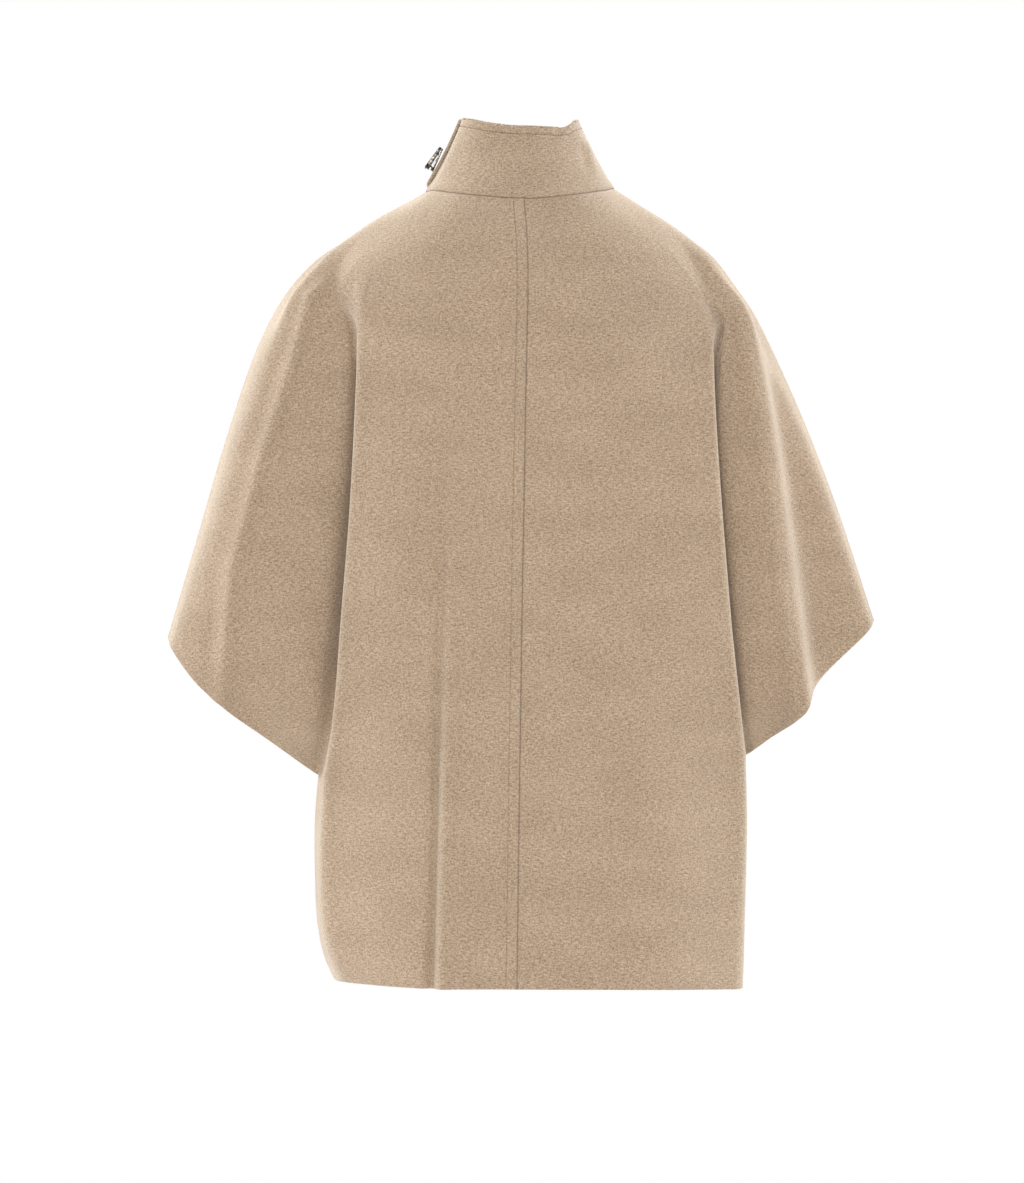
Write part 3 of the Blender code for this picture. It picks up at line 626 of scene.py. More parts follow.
def unit(vectors):
    return vectors / np.maximum(np.linalg.norm(vectors, axis=1), 1e-9)[:, None]


class Sheet:
    """One piece of cloth: a grid of outer points in rows, which may have fewer columns lower down."""

    def __init__(self, name, blocks, flip, thickness):
        self.name, self.thickness = name, thickness
        wide = max(block.shape[1] for block in blocks)
        self.grid = -np.ones((sum(block.shape[0] for block in blocks), wide), dtype=int)
        self.points = np.concatenate([block.reshape(-1, 3) for block in blocks])
        start = row = 0
        for block in blocks:
            rows, columns = block.shape[:2]
            self.grid[row : row + rows, :columns] = start + np.arange(rows * columns).reshape(rows, columns)
            start, row = start + rows * columns, row + rows
        quads = grid_quads(self.grid)
        self.quads = quads[:, ::-1] if flip else quads
        # For each point: how far it is raised, extra thickness inside, painted shade, mitre, and if it is
        # sewn
        self.raised = np.zeros(len(self.points))
        self.extra = np.zeros(len(self.points))
        self.shade = np.zeros(len(self.points))
        self.mitre = np.ones(len(self.points))
        self.sewn = np.zeros(len(self.points), dtype=bool)
        self.normals = self.find_normals()
        self.find_rim()

    def find_normals(self):
        a, b, c, d = (self.points[self.quads[:, k]] for k in range(4))
        flat = np.cross(c - a, d - b)
        total = np.zeros_like(self.points)
        for k in range(4):
            np.add.at(total, self.quads[:, k], flat)
        return unit(total)

    def find_rim(self):
        """Finds the edges with cloth on one side only, and the way out of the cloth at their points."""
        q = self.quads
        edges = np.concatenate([q[:, [k, (k + 1) % 4]] for k in range(4)])
        size = len(self.points)
        forward = edges[:, 0] * size + edges[:, 1]
        backward = edges[:, 1] * size + edges[:, 0]
        self.rim = edges[~np.isin(forward, backward)]
        a, b = self.rim[:, 0], self.rim[:, 1]
        way = unit(self.points[b] - self.points[a])
        total = np.zeros_like(self.points)
        for end in (a, b):
            np.add.at(total, end, np.cross(way, self.normals[end]))
        self.out = unit(total)

    def shaped(self):
        """The outer points, raised by the strip or band and sunk by the stitching."""
        return self.points + self.normals * self.raised[:, None]


# %% Mitre the walls at the seams
# The wall is never thicker than its plain thickness divided by this
MITRE_LEAST = 0.75


def share_normals(sheets):
    """Gives sheets that meet at a seam the same wall direction there, so that their walls mitre."""
    keys = np.concatenate([np.round(sheet.points, 2) for sheet in sheets])
    owner = np.concatenate([np.full(len(sheet.points), n) for n, sheet in enumerate(sheets)])
    index = np.concatenate([np.arange(len(sheet.points)) for sheet in sheets])
    every, group, count = np.unique(keys, axis=0, return_inverse=True, return_counts=True)
    group = group.reshape(-1)
    total = np.zeros((len(every), 3))
    np.add.at(total, group, np.concatenate([sheet.normals for sheet in sheets]))
    total = unit(total)
    for n, sheet in enumerate(sheets):
        mine = owner == n
        meets = count[group[mine]] > 1
        i, shared = index[mine][meets], total[group[mine][meets]]
        along = (shared * sheet.normals[i]).sum(axis=1)
        sheet.mitre[i] = 1.0 / np.maximum(along, MITRE_LEAST)
        sheet.normals[i] = shared
        sheet.sewn[i] = True


print("A mitred wall is at most", round(1.0 / MITRE_LEAST, 2), "times its plain thickness")

# %% [markdown]
# ## Soft creases
#
# A sheet this heavy has few wrinkles, but the ones it has make it cloth: a pinch where each fold begins,
# a dent in the lower sleeve, and slow waves where the back hangs free. They could be left to a
# simulation, but those of the back are the ones that the real cape shows, so each is listed: a line
# over the cloth, with a depth and a width at each of its points. Negative depths are ridges.

# %% Lines of the creases
# Out (towards the wearer's left), height, depth, width
BACK_CREASES = [
    # The one long fold of the back: a sharp trough and the ridge that catches the light beside it
    [
        (70, -190, 0, 4),
        (73, -300, 0.7, 4),
        (76, -430, 1.2, 3.6),
        (79, -560, 1.7, 3.4),
        (83.5, -745, 1.8, 3.4),
    ],
    [(62, -230, 0, 8), (65, -360, -1.3, 8), (68, -500, -2.4, 8), (73, -745, -3.2, 8)],
    # The pinch where the left fold begins, and the ridge beside it
    [(150, -72, 0, 7), (161, -92, 2.2, 8), (158, -112, 2.4, 8), (154, -140, 0, 8)],
    [(143, -66, 0, 6), (152, -84, -1.6, 6), (149, -104, -1.4, 6), (146, -126, 0, 6)],
    # The same on the right, with its short pull across
    [(-172, -88, 0, 7), (-178, -104, 2.0, 7), (-183, -126, 2.2, 7), (-181, -150, 0, 7)],
    [(-166, -92, 0, 6), (-172, -112, -1.5, 6), (-174, -130, 0, 6)],
    [(-160, -132, 0, 5), (-170, -137, 1.2, 5), (-179, -140, 0, 5)],
    # The dent low in the left sleeve, and the softer one in the right
    [(196, -330, 0, 12), (190, -385, 2.6, 14), (184, -440, 2.2, 12), (182, -480, 0, 10)],
    [(-212, -330, 0, 12), (-215, -395, 1.6, 14), (-216, -450, 0, 12)],
    # Slow waves in the back, which hangs free from the shoulder blades
    [(45, -180, 0, 22), (40, -330, 1.0, 26), (38, -520, 1.4, 26), (36, -735, 1.2, 26)],
    [(110, -150, 0, 20), (116, -300, -0.9, 24), (124, -480, -1.3, 26), (130, -735, -1.0, 26)],
    [(-60, -170, 0, 24), (-66, -340, 1.2, 28), (-72, -540, 1.6, 30), (-76, -735, 1.4, 30)],
    [(-128, -190, 0, 22), (-134, -380, -1.1, 24), (-140, -560, -1.4, 26), (-146, -735, -1.2, 26)],
    [(-20, -260, 0, 18), (-26, -420, -0.7, 20), (-28, -600, -0.9, 22), (-30, -735, -0.6, 22)],
    # Short waves across the shoulders, which carry the weight
    [(30, -60, 0, 14), (70, -72, 0.7, 14), (110, -66, 0, 14)],
    [(-28, -72, 0, 14), (-72, -84, 0.8, 15), (-118, -74, 0, 14)],
]
FRONT_CREASES = [
    # The fronts have pinches and dents like the back's, and on each side a long fold down to the hem
    [(150, -92, 0, 8), (158, -118, 2.2, 8), (157, -146, 0, 8)],
    [(-166, -98, 0, 8), (-172, -126, 2.2, 8), (-176, -156, 0, 8)],
    [(192, -340, 0, 12), (188, -400, 2.2, 14), (184, -470, 0, 12)],
    [(-214, -350, 0, 12), (-216, -410, 1.8, 14), (-216, -470, 0, 12)],
    [(86, -200, 0, 18), (92, -360, 1.6, 18), (98, -540, 2.6, 20), (102, -735, 3.0, 20)],
    [(70, -240, 0, 14), (74, -420, -1.2, 16), (78, -735, -1.8, 18)],
    [(-84, -190, 0, 20), (-92, -380, 1.8, 20), (-98, -560, 2.4, 22), (-104, -735, 2.6, 22)],
    [(-64, -260, 0, 16), (-68, -460, -1.2, 18), (-72, -735, -1.6, 18)],
    [(134, -220, 0, 20), (140, -420, -1.2, 22), (146, -735, -1.2, 22)],
    [(-138, -210, 0, 20), (-146, -420, -1.3, 22), (-152, -735, -1.1, 22)],
]
COLLAR_CREASES = [
    # The pull that starts at the peak on the wearer's right and runs down across the back
    [(-52, 83, -2.2, 3.2), (-46, 73, -2.4, 3.2), (-40, 64, -1.8, 3.5), (-32, 47, -0.6, 4), (-28, 36, 0, 4)],
    [(-45, 79, 1.2, 3), (-39, 70, 1.8, 3.2), (-32, 58, 0.9, 4), (-26, 48, 0, 4)],
    # The soft upright fold where the collar turns forwards
    [(-60, 64, 0, 3.5), (-63, 54, -2.0, 3.5), (-67, 40, -1.8, 3.5), (-72, 22, 0, 4)],
    [(-56, 60, 0, 4), (-58, 48, 1.3, 4), (-61, 34, 1.1, 4), (-64, 20, 0, 4)],
    # Slow waves of the standing cloth
    [(52, 66, 0, 7), (58, 44, 0.8, 8), (66, 20, 0, 8)],
    [(10, 58, 0, 14), (12, 34, -0.7, 15), (16, 10, 0, 14)],
]
for place, lines in (("back", BACK_CREASES), ("fronts", FRONT_CREASES), ("collar", COLLAR_CREASES)):
    print("Creases by hand,", place + ":", len(lines))

# %% Ridges that follow the folds
# Each follows a table at a distance out, begins some rows down, and has a depth by side and a width
FOLLOWING = [
    # The crisp ridge down the sleeve
    (RIDGE, {"left": -8.5, "right": -11.0}, 1, {"left": -5.8, "right": -2.6}, 6.5),
    # The shallow trough outside it
    (RIDGE, {"left": 9.0, "right": 9.0}, 2, {"left": 2.0, "right": 0.8}, 7.0),
    # The low ridge just inside the fold edge
    (FOLD, {"left": -2.5, "right": -2.5}, 1, {"left": -0.8, "right": -0.8}, 4.5),
]


def ridge_lines(side):
    """The lines of creases that follow the folds of one side, all but their first row."""
    way = 1.0 if side == "left" else -1.0
    lines = []
    for table, shift, begins, depth, width in FOLLOWING:
        line = []
        for n, row in enumerate(table[side][1:]):
            line.append((way * (row[1] + shift[side]), row[3], depth[side] * (n >= begins), width))
        lines.append(line)
    return lines


def crease_field(points, lines):
    """How far in the creases lie at each point, from lines drawn over the cloth as seen face on."""
    total = np.zeros(len(points))
    flat = points[:, [0, 2]]
    for line in lines:
        line = np.array(line, dtype=float)
        far, depth = np.full(len(points), 1e9), np.zeros(len(points))
        for a, b in zip(line[:-1], line[1:]):
            way = b[:2] - a[:2]
            share = np.clip(((flat - a[:2]) @ way) / (way @ way), 0.0, 1.0)
            gap = np.linalg.norm(flat - a[:2] - share[:, None] * way, axis=1)
            width = a[3] + share * (b[3] - a[3])
            nearer = gap / width < far
            far = np.where(nearer, gap / width, far)
            depth = np.where(nearer, a[2] + share * (b[2] - a[2]), depth)
        total += depth * np.exp(-(far**2))
    return total


# %% [markdown]
# The sheets are not quite where their rows put them. The left front lies under the right front, so it is
# sunk by more than the cloth's thickness, and so is the left neckline, under the collar's outer end. The
# centre back seam of a worn cape is never quite plumb, and this one sways by a few millimetres.

# %% Lap the fronts and sway the centre back seam
LAP_COLUMNS = len(NEAR_CENTRE) - 1
# Height on the centre back seam, and how far it hangs to the wearer's left there
SEAM_ASKEW = np.array(
    [(-735, 4.2), (-560, 1.9), (-375, -0.8), (-190, -4.0), (-98, -6.1), (-61, -6.0), (-28, -4.6), (-5, -2.8)]
)
# The cloth moves with the seam up to the first distance from it, and not at all from the second
ASKEW_FULL, ASKEW_END = 14.0, 62.0


def mirrored(points):
    return points * np.array([-1.0, 1.0, 1.0])


def askew(points):
    """Moves the cloth beside the centre back seam sideways, because the seam hangs a little askew."""
    moved = points.copy()
    near = 1.0 - smooth(ASKEW_FULL, ASKEW_END, np.abs(points[..., 0]))
    moved[..., 0] += near * np.interp(points[..., 2], SEAM_ASKEW[:, 0], SEAM_ASKEW[:, 1])
    return moved


def lapped(own, other):
    """A front, continued past the centre by its lap. Its first column is its edge."""
    return [np.concatenate([b[:, LAP_COLUMNS:0:-1], a], axis=1) for a, b in zip(own, other)]


left_front, right_front = halves["left", "front"], [mirrored(block) for block in halves["right", "front"]]
blocks = {
    "back_left": [askew(block) for block in halves["left", "back"]],
    "back_right": [askew(mirrored(block)) for block in halves["right", "back"]],
    "front_left": lapped(left_front, right_front),
    "front_right": lapped(right_front, left_front),
}
FLIPS = {"back_left": True, "back_right": False, "front_left": False, "front_right": True}
smooth_sheets = {name: Sheet(name, blocks[name], FLIPS[name], CLOTH) for name in blocks}
share_normals(list(smooth_sheets.values()))
print("Lap of", LAP_REACH, "mm past the centre in", LAP_COLUMNS, "columns")

# %% Sink and crease the four sheets
# Degrees round the neck at which the sinking starts and is full, and the rows over which it fades
SUNK_FROM, SUNK_FULL, SUNK_ROWS = 62.0, 78.0, 0.14
# Distances past the lap's edge between which the sunk front comes up again
SUNK_BESIDE, SUNK_END = 8.0, 42.0
# Creases fade where the cloth turns to the overarm seam, between these distances from its plane
CREASE_NONE, CREASE_WHOLE = 6.0, 30.0


def sink(sheet):
    """How far the left sheets are sunk under the right front and the collar's outer end."""
    across = 0.0
    if sheet.name == "front_left":
        across = 1.0 - smooth(LAP_REACH + SUNK_BESIDE, LAP_REACH + SUNK_END, sheet.points[:, 0])
    down = np.zeros(len(sheet.points))
    for r in range(len(sheet.grid)):
        cells = sheet.grid[r] >= 0
        angle = neck_angle(sheet.points[sheet.grid[0][cells]])
        fading = 1.0 - smooth(0.0, SUNK_ROWS, r / CAPE_ROWS)
        down[sheet.grid[r][cells]] = smooth(SUNK_FROM, SUNK_FULL, angle) * fading
    return LAP_DROP * np.maximum(across, down)


def draped(sheet):
    """The sheet's blocks with its creases, sunk where it lies under another."""
    lines = BACK_CREASES if sheet.name.startswith("back") else FRONT_CREASES
    lines = lines + ridge_lines("left" if sheet.name.endswith("left") else "right")
    depth = crease_field(sheet.points, lines) * smooth(CREASE_NONE, CREASE_WHOLE, np.abs(sheet.points[:, 1]))
    if sheet.name.endswith("left"):
        depth = depth + sink(sheet)
    moved = sheet.points - sheet.normals * depth[:, None]
    first = moved[sheet.grid[: CAPE_ROWS + 1]]
    columns = (sheet.grid[-1] >= 0).sum()
    return [first, moved[sheet.grid[CAPE_ROWS + 1 :, :columns]]]


sheets = {name: Sheet(name, draped(s), FLIPS[name], CLOTH) for name, s in smooth_sheets.items()}
for sheet in sheets.values():
    print(sheet.name, len(sheet.points), "points,", len(sheet.rim), "rim edges")

# %% [markdown]
# ## The collar
#
# The funnel collar is one long band. Its inner end starts under the right front, it goes once round the
# neck, and its outer end laps on to the wearer's left side, where the clasp is. Its feet are the neckline
# points of the four sheets, so collar and cape share one seam. The levels lie close together near the top,
# where a row of topstitching runs.

# %% Feet and levels of the collar
# Angle at which the outer end stops, how far its foot is lifted, and how far the band curves inwards
COLLAR_END, COLLAR_LIFT, COLLAR_HOLLOW = 80.0, 0.07, 1.5
# The free end: columns, degrees past the seam at which it starts and over which its foot lifts
FREE_COLUMNS, FREE_START, LIFT_OVER = 54, 1.2, 10.0
# Its last columns are a degree apart, and its corners slant there by these shares of the height
END_COLUMNS, CORNER_OVER, CORNER_FOOT, CORNER_TOP = 8, 6.0, 0.10, 0.08
# Angle, height: on the wearer's right the top edge is pushed up into a soft peak
PEAK = np.array([(-76, 0.0), (-69, 2.6), (-62, 5.6), (-55, 5.0), (-50, 2.6), (-45, 0.6), (-40, 0.0)])
# Levels by their distance from the top edge, and how many lie below them
FROM_TOP = np.array([0, 1.3, 2.8, 4.6, 6.4, 7.8, 8.7, 9.5, 10.3, 11.2, 12.6, 15.0])
LOW_LEVELS = 20


def collar_feet():
    """Feet, signed angles, sink under the outer end, and how much is cut away at foot and top."""
    first = {name: sheet.points[sheet.grid[0]] for name, sheet in sheets.items()}
    feet = np.concatenate([first["front_left"], first["back_left"][-2::-1]])
    sunk = len(feet)
    feet = np.concatenate([feet, first["back_right"][1:], first["front_right"][-2::-1]])
    angle = neck_angle(feet)
    drop = np.where(np.arange(len(feet)) < sunk, LAP_DROP * smooth(SUNK_FROM, SUNK_FULL, angle), 0.0)
    signed = np.where(feet[:, 0] > 0, angle, -angle)
    start = angle[-1]
    free = np.linspace(start - FREE_START, COLLAR_END + END_COLUMNS, FREE_COLUMNS)
    free = np.concatenate([free, COLLAR_END + np.arange(END_COLUMNS - 1, -1, -1.0)])
    corner = smooth(COLLAR_END + CORNER_OVER, COLLAR_END, free)
    low = COLLAR_LIFT * smooth(start, start - LIFT_OVER, free) + CORNER_FOOT * corner
    nothing = np.zeros(len(feet))
    return (
        np.concatenate([feet, neck_points(free)]),
        np.concatenate([signed, free]),
        np.concatenate([drop, 0.0 * free]),
        np.concatenate([nothing, low]),
        np.concatenate([nothing + 1.0, 1.0 - CORNER_TOP * corner]),
    )


def gap_along(sheet, axis, from_end):
    """For each point, how far along its row or column the cloth goes on, from one end of it."""
    p = np.where((sheet.grid >= 0)[..., None], sheet.points[sheet.grid], np.nan)
    step = np.nan_to_num(np.linalg.norm(np.diff(p, axis=axis), axis=2))
    if from_end:
        step = np.flip(step, axis)
    far = np.cumsum(step, axis)
    far = np.concatenate([np.zeros_like(far[:1] if axis == 0 else far[:, :1]), far], axis=axis)
    if from_end:
        far = np.flip(far, axis)
    made = np.zeros(len(sheet.points))
    made[sheet.grid[sheet.grid >= 0]] = far[sheet.grid >= 0]
    return made


def collar_block():
    """The band's points, level by level from the foot to the top edge, and the angle of each column."""
    feet, angle, drop, low, high = collar_feet()
    turn = np.radians(angle)
    inward = np.stack([-np.sin(turn), -np.cos(turn), 0.0 * turn], axis=-1)
    rise = top_points(angle) + inward * drop[:, None] - feet
    rise[:, 2] += np.interp(angle, PEAK[:, 0], PEAK[:, 1])
    height = np.linalg.norm(rise, axis=1) * (high - low)
    levels = [k / LOW_LEVELS * (1.0 - FROM_TOP[-1] / height) for k in range(LOW_LEVELS)]
    levels += [1.0 - d / height for d in FROM_TOP[::-1]]
    share = low + (high - low) * np.array(levels)
    hollow = COLLAR_HOLLOW * np.sin(np.pi * share)
    return feet + rise * share[..., None] + inward * hollow[..., None], angle


# %% The collar with its creases
# They lie behind the neck, between these distances back, and fade out towards the neck seam
BEHIND_FROM, BEHIND_FULL, ABOVE_SEAM = -6.0, 10.0, 8.0

collar_points, collar_angles = collar_block()
plain = Sheet("collar", [collar_points], True, COLLAR_CLOTH)
behind = smooth(BEHIND_FROM, BEHIND_FULL, plain.points[:, 1])
behind = behind * smooth(0.0, ABOVE_SEAM, gap_along(plain, 0, False))
creased = plain.points - plain.normals * (crease_field(plain.points, COLLAR_CREASES) * behind)[:, None]
collar = Sheet("collar", [creased[plain.grid]], True, COLLAR_CLOTH)
every_sheet = list(sheets.values()) + [collar]
share_normals(every_sheet)
print("Collar levels and columns:", collar.grid.shape)

# %% [markdown]
# ## Strip, stitches and hems
#
# Along the centre back the seam allowance is folded to the left and stitched down, so a flat strip stands
# up beside the seam and a shallow channel shows where the thread pulls the cloth in. The neck seam's
# allowance is turned up inside the collar and makes a low band over the seam. Such steps need real depth to
# catch the light, so they are in the mesh. The nap in a channel lies in shade, which is too fine for the
# light to find, so each point also has a number that darkens the wool. Inside, hems and seam allowances
# are a second layer.

# %% Raise the strip and sink the stitching
# Depth and width of a stitch channel, and how much painted shade darkens it
CHANNEL_DEPTH, CHANNEL_WIDTH, CHANNEL_SHADE = 0.5, 0.75, 0.3
# The strip starts to round off this far inside its edge
STRIP_ROUND = 0.3
# The band over the neck seam, and how its upper edge rounds off below and above its height
BAND_HIGH, BAND_RISE, BAND_ROUND, BAND_FADE = 8.5, 0.7, 1.5, 2.0


def press(sheet, gap, shade=CHANNEL_SHADE):
    """Presses a shallow valley into the cloth and paints shade into it, by each point's distance from the
    stitches.
    """
    valley = np.exp(-((gap / CHANNEL_WIDTH) ** 2))
    sheet.raised -= CHANNEL_DEPTH * valley
    sheet.shade += shade * valley


back_left, front_right = sheets["back_left"], sheets["front_right"]
out = gap_along(back_left, 1, False)
back_left.raised += STRIP_RISE * (1.0 - smooth(STRIP_WIDTH - STRIP_ROUND, STRIP_WIDTH + STRIP_STEP, out))
press(back_left, out - STITCH_FROM_SEAM, 0.5 * CHANNEL_SHADE)
press(front_right, front_right.points[:, 0] - (LAP_REACH - STITCH_FROM_EDGE))
from_top = np.concatenate([np.full(LOW_LEVELS, np.inf), FROM_TOP[::-1]])
press(collar, np.repeat(from_top - STITCH_FROM_EDGE, collar.grid.shape[1]))
from_seam = gap_along(collar, 0, False)
collar.raised += BAND_RISE * (1.0 - smooth(BAND_HIGH - BAND_ROUND, BAND_HIGH + BAND_FADE, from_seam))
print("Strip and band stand up by", STRIP_RISE, "and", BAND_RISE, "mm")

# %% Thicken hems and seam allowances on the inside
HEM_DEEP, HEM_EXTRA = 34.0, 1.1
ALLOWANCE, ALLOWANCE_EXTRA = 11.0, 0.8
# A layer's edge fades over this much to each side, and there is none near the neck seam
LAYER_FADE, NECK_FREE, NECK_CLEAR = 1.5, 14.0, 30.0


def inner_layer(extra, deep, gap):
    """A second layer of cloth, this much thicker, up to this deep from the edge that gap is measured from."""
    return extra * (1.0 - smooth(deep - LAYER_FADE, deep + LAYER_FADE, gap))


for sheet in sheets.values():
    hem = inner_layer(HEM_EXTRA, HEM_DEEP, gap_along(sheet, 0, True))
    seam = gap_along(sheet, 1, True)
    if sheet.name.startswith("back"):
        seam = np.minimum(seam, gap_along(sheet, 1, False))
    inside = np.maximum(hem, inner_layer(ALLOWANCE_EXTRA, ALLOWANCE, seam))
    sheet.extra = inside * smooth(NECK_FREE, NECK_CLEAR, gap_along(sheet, 0, False))
    print(sheet.name, "wall up to", round(float((CLOTH + sheet.extra).max()), 1), "mm")

# %% [markdown]
# ## The flat cut
#
# The weave of the real cape runs level across the back and tilts down over the sleeves, because back and
# sleeve are one flat cut. So each sheet is laid flat again: a coarse copy of its grid is unwrapped with
# little stretch, turned so that its centre line is upright and scaled to its real size. The fine sheet
# reads its place on the cut from it. This gives both the UV map and the size of the cut.

# %% Lay a sheet flat
# The coarse copy keeps one row and one column in so many
CAPE_EVERY, COLLAR_EVERY = (6, 4), (4, 8)


def some(count, every, keep=()):
    """Every so many of the numbers up to a count, with the last one and those to keep."""
    return np.array(sorted(set(range(0, count, every)) | {count - 1} | set(keep)))


def unwrapped(points, quads):
    """Flat places of the points of a coarse grid, by Blender's unwrap with minimum stretch."""
    mesh = bpy.data.meshes.new("cut")
    mesh.from_pydata([tuple(p) for p in points], [], [tuple(q) for q in quads])
    cut = bpy.data.objects.new("cut", mesh)
    bpy.context.collection.objects.link(cut)
    bpy.ops.object.select_all(action="DESELECT")
    cut.select_set(True)
    bpy.context.view_layer.objects.active = cut
    bpy.ops.object.mode_set(mode="EDIT")
    bpy.ops.mesh.select_all(action="SELECT")
    bpy.ops.uv.unwrap(method="MINIMUM_STRETCH", fill_holes=False, margin=0.0)
    bpy.ops.object.mode_set(mode="OBJECT")
    flat = np.zeros((len(points), 2))
    for loop, place in zip(mesh.loops, mesh.uv_layers.active.data):
        flat[loop.vertex_index] = place.uv
    bpy.data.objects.remove(cut)
    return flat


def quad_area(points, quads):
    """The area of four-sided faces, in space or flat."""
    if points.shape[1] == 2:
        points = np.concatenate([points, np.zeros((len(points), 1))], axis=1)
    a, b, c, d = (points[quads[:, k]] for k in range(4))
    return 0.5 * np.linalg.norm(np.cross(c - a, d - b), axis=1).sum()


def turned_upright(flat, first, last, top_first):
    """Flat places with the first point at the origin and the last straight below it, or else above."""
    down = (flat[last] - flat[first]) * (1.0 if top_first else -1.0)
    turn = math.atan2(down[0], -down[1])
    spin = np.array([[math.cos(turn), math.sin(turn)], [-math.sin(turn), math.cos(turn)]])
    return (flat - flat[first]) @ spin


# %% Read the fine sheet's places from the coarse one
def between(places, rows, columns, side_way, down_way):
    """Places of all points of a block, from those of some rows and columns: along rows, then down."""
    across = [[np.interp(d, d[columns], p[:, k]) for k in (0, 1)] for d, p in zip(side_way[rows], places)]
    across = np.array(across)
    full = [[np.interp(d, d[rows], across[:, k, n]) for n, d in enumerate(down_way.T)] for k in (0, 1)]
    return np.array(full).transpose(2, 1, 0)


def lay_flat(sheet, every, centre, top_first):
    """Gives the sheet its places on the flat cut, in metres, and the cut's width, length and area."""
    tall, wide = sheet.grid.shape
    narrow = int((sheet.grid[-1] >= 0).sum())
    low_rows = tall if narrow == wide else CAPE_ROWS + 1
    rows = some(tall, every[0], [low_rows - 1])
    columns = some(wide, every[1], [narrow - 1, centre])
    coarse = sheet.grid[np.ix_(rows, columns)]
    ids, place = np.unique(coarse[coarse >= 0], return_inverse=True)
    lookup = -np.ones_like(coarse)
    lookup[coarse >= 0] = place.reshape(-1)
    points, quads = sheet.points[ids] * MM, grid_quads(lookup)
    flat = unwrapped(points, quads)
    flat *= math.sqrt(quad_area(points, quads) / quad_area(flat, quads))
    first_end, last_end = lookup[[0, -1], int(np.searchsorted(columns, centre))]
    flat = turned_upright(flat, first_end, last_end, top_first)
    sheet.flat = np.zeros((len(sheet.points), 2))
    side_way, down_way = (gap_along(sheet, axis, False)[sheet.grid] for axis in (1, 0))
    blocks_made = [(0, low_rows, wide)] + [(low_rows - 1, tall, narrow)] * (narrow < wide)
    for first, last, count in blocks_made:
        r = np.where((rows >= first) & (rows < last))[0]
        c = np.where(columns < count)[0]
        block = (slice(first, last), slice(0, count))
        known = flat[lookup[np.ix_(r, c)]]
        places = between(known, rows[r] - first, columns[c], side_way[block], down_way[block])
        sheet.flat[sheet.grid[block]] = places
    size = sheet.flat.max(axis=0) - sheet.flat.min(axis=0)
    sheet.cut = (float(size[0]), float(size[1]))
    sheet.area = float(quad_area(sheet.flat, sheet.quads))
    print(f"{sheet.name}: cut {sheet.cut[0]:.3f} x {sheet.cut[1]:.3f} m, {sheet.area:.3f} m2")


for sheet in sheets.values():
    lay_flat(sheet, CAPE_EVERY, LAP_COLUMNS if sheet.name.startswith("front") else 0, True)
lay_flat(collar, COLLAR_EVERY, int(np.argmin(np.abs(collar_angles))), False)

# %% [markdown]
# ## Heather wool
#
# Seen close, this cloth is not one beige: brown, sand and cream fibres were mixed before spinning, the
# cloth was woven, and then brushed until a short nap covered the weave. A photograph could show that, but
# a procedural finish stays sharp at any distance. Stretched noise gives the fibres their direction along
# the weft, other layers give flecks and stray pale hairs, and a slow layer keeps large areas from looking
# flat. The shade at each point darkens the seams and the stitches' channels. The sheen stands for the nap,
# which glows where the cloth turns away.

# %% Helpers for materials
# A shift of a pattern along the weft also moves it across, by this share
SHIFT_DOWN = 0.7


def new_material(name):
    """A new material, its node tree and its main shader."""
    made = bpy.data.materials.new(name)
    made.use_nodes = True
    return made, made.node_tree, made.node_tree.nodes["Principled BSDF"]


def fibre_noise(tree, source, scale, turn, detail, roughness, shift):
    """Noise stretched along the cloth: its scale is in grains per metre, along and across the weft."""
    mapping = tree.nodes.new("ShaderNodeMapping")
    mapping.inputs["Location"].default_value = (shift, SHIFT_DOWN * shift, 0.0)
    mapping.inputs["Rotation"].default_value = (0.0, 0.0, math.radians(turn))
    mapping.inputs["Scale"].default_value = (scale[0], scale[1], 1.0)
    noise = tree.nodes.new("ShaderNodeTexNoise")
    noise.noise_dimensions = "2D"
    noise.inputs["Scale"].default_value = 1.0
    noise.inputs["Detail"].default_value = detail
    noise.inputs["Roughness"].default_value = roughness
    tree.links.new(source, mapping.inputs["Vector"])
    tree.links.new(mapping.outputs["Vector"], noise.inputs["Vector"])
    return noise.outputs["Fac"]


def spread(tree, value, low, high, new_low=0.0, new_high=1.0):
    """Stretches a value's range from low..high to a new one, and holds it there."""
    node = tree.nodes.new("ShaderNodeMapRange")
    node.clamp = True
    for key, number in (("From Min", low), ("From Max", high), ("To Min", new_low), ("To Max", new_high)):
        node.inputs[key].default_value = number
    tree.links.new(value, node.inputs["Value"])
    return node.outputs["Result"]


def blend_colours(tree, factor, first, second, way="MIX"):
    """Mixes two colours, each a socket or four numbers, by a socket or a number."""
    node = tree.nodes.new("ShaderNodeMix")
    node.data_type, node.blend_type = "RGBA", way
    if isinstance(factor, float):
        node.inputs["Factor"].default_value = factor
    else:
        tree.links.new(factor, node.inputs["Factor"])
    for key, colour in ((6, first), (7, second)):
        if isinstance(colour, tuple):
            node.inputs[key].default_value = colour
        else:
            tree.links.new(colour, node.inputs[key])
    return node.outputs[2]


def add_values(tree, first, second, weight):
    """first + second * weight."""
    node = tree.nodes.new("ShaderNodeMath")
    node.operation = "MULTIPLY_ADD"
    node.inputs[1].default_value = weight
    tree.links.new(second, node.inputs[0])
    tree.links.new(first, node.inputs[2])
    return node.outputs[0]


# %% Colours and fibres of the wool
SAND = (0.288, 0.209, 0.143, 1.0)
BROWN = (0.156, 0.105, 0.067, 1.0)
PALE = (0.429, 0.330, 0.236, 1.0)
FLECK = (0.076, 0.047, 0.029, 1.0)
CREAM = (0.554, 0.466, 0.362, 1.0)
# Painted shade: the dark brown that seam grooves and stitch channels are darkened to, by the shade number
CREVICE_SHADE = (0.130, 0.068, 0.034, 1.0)
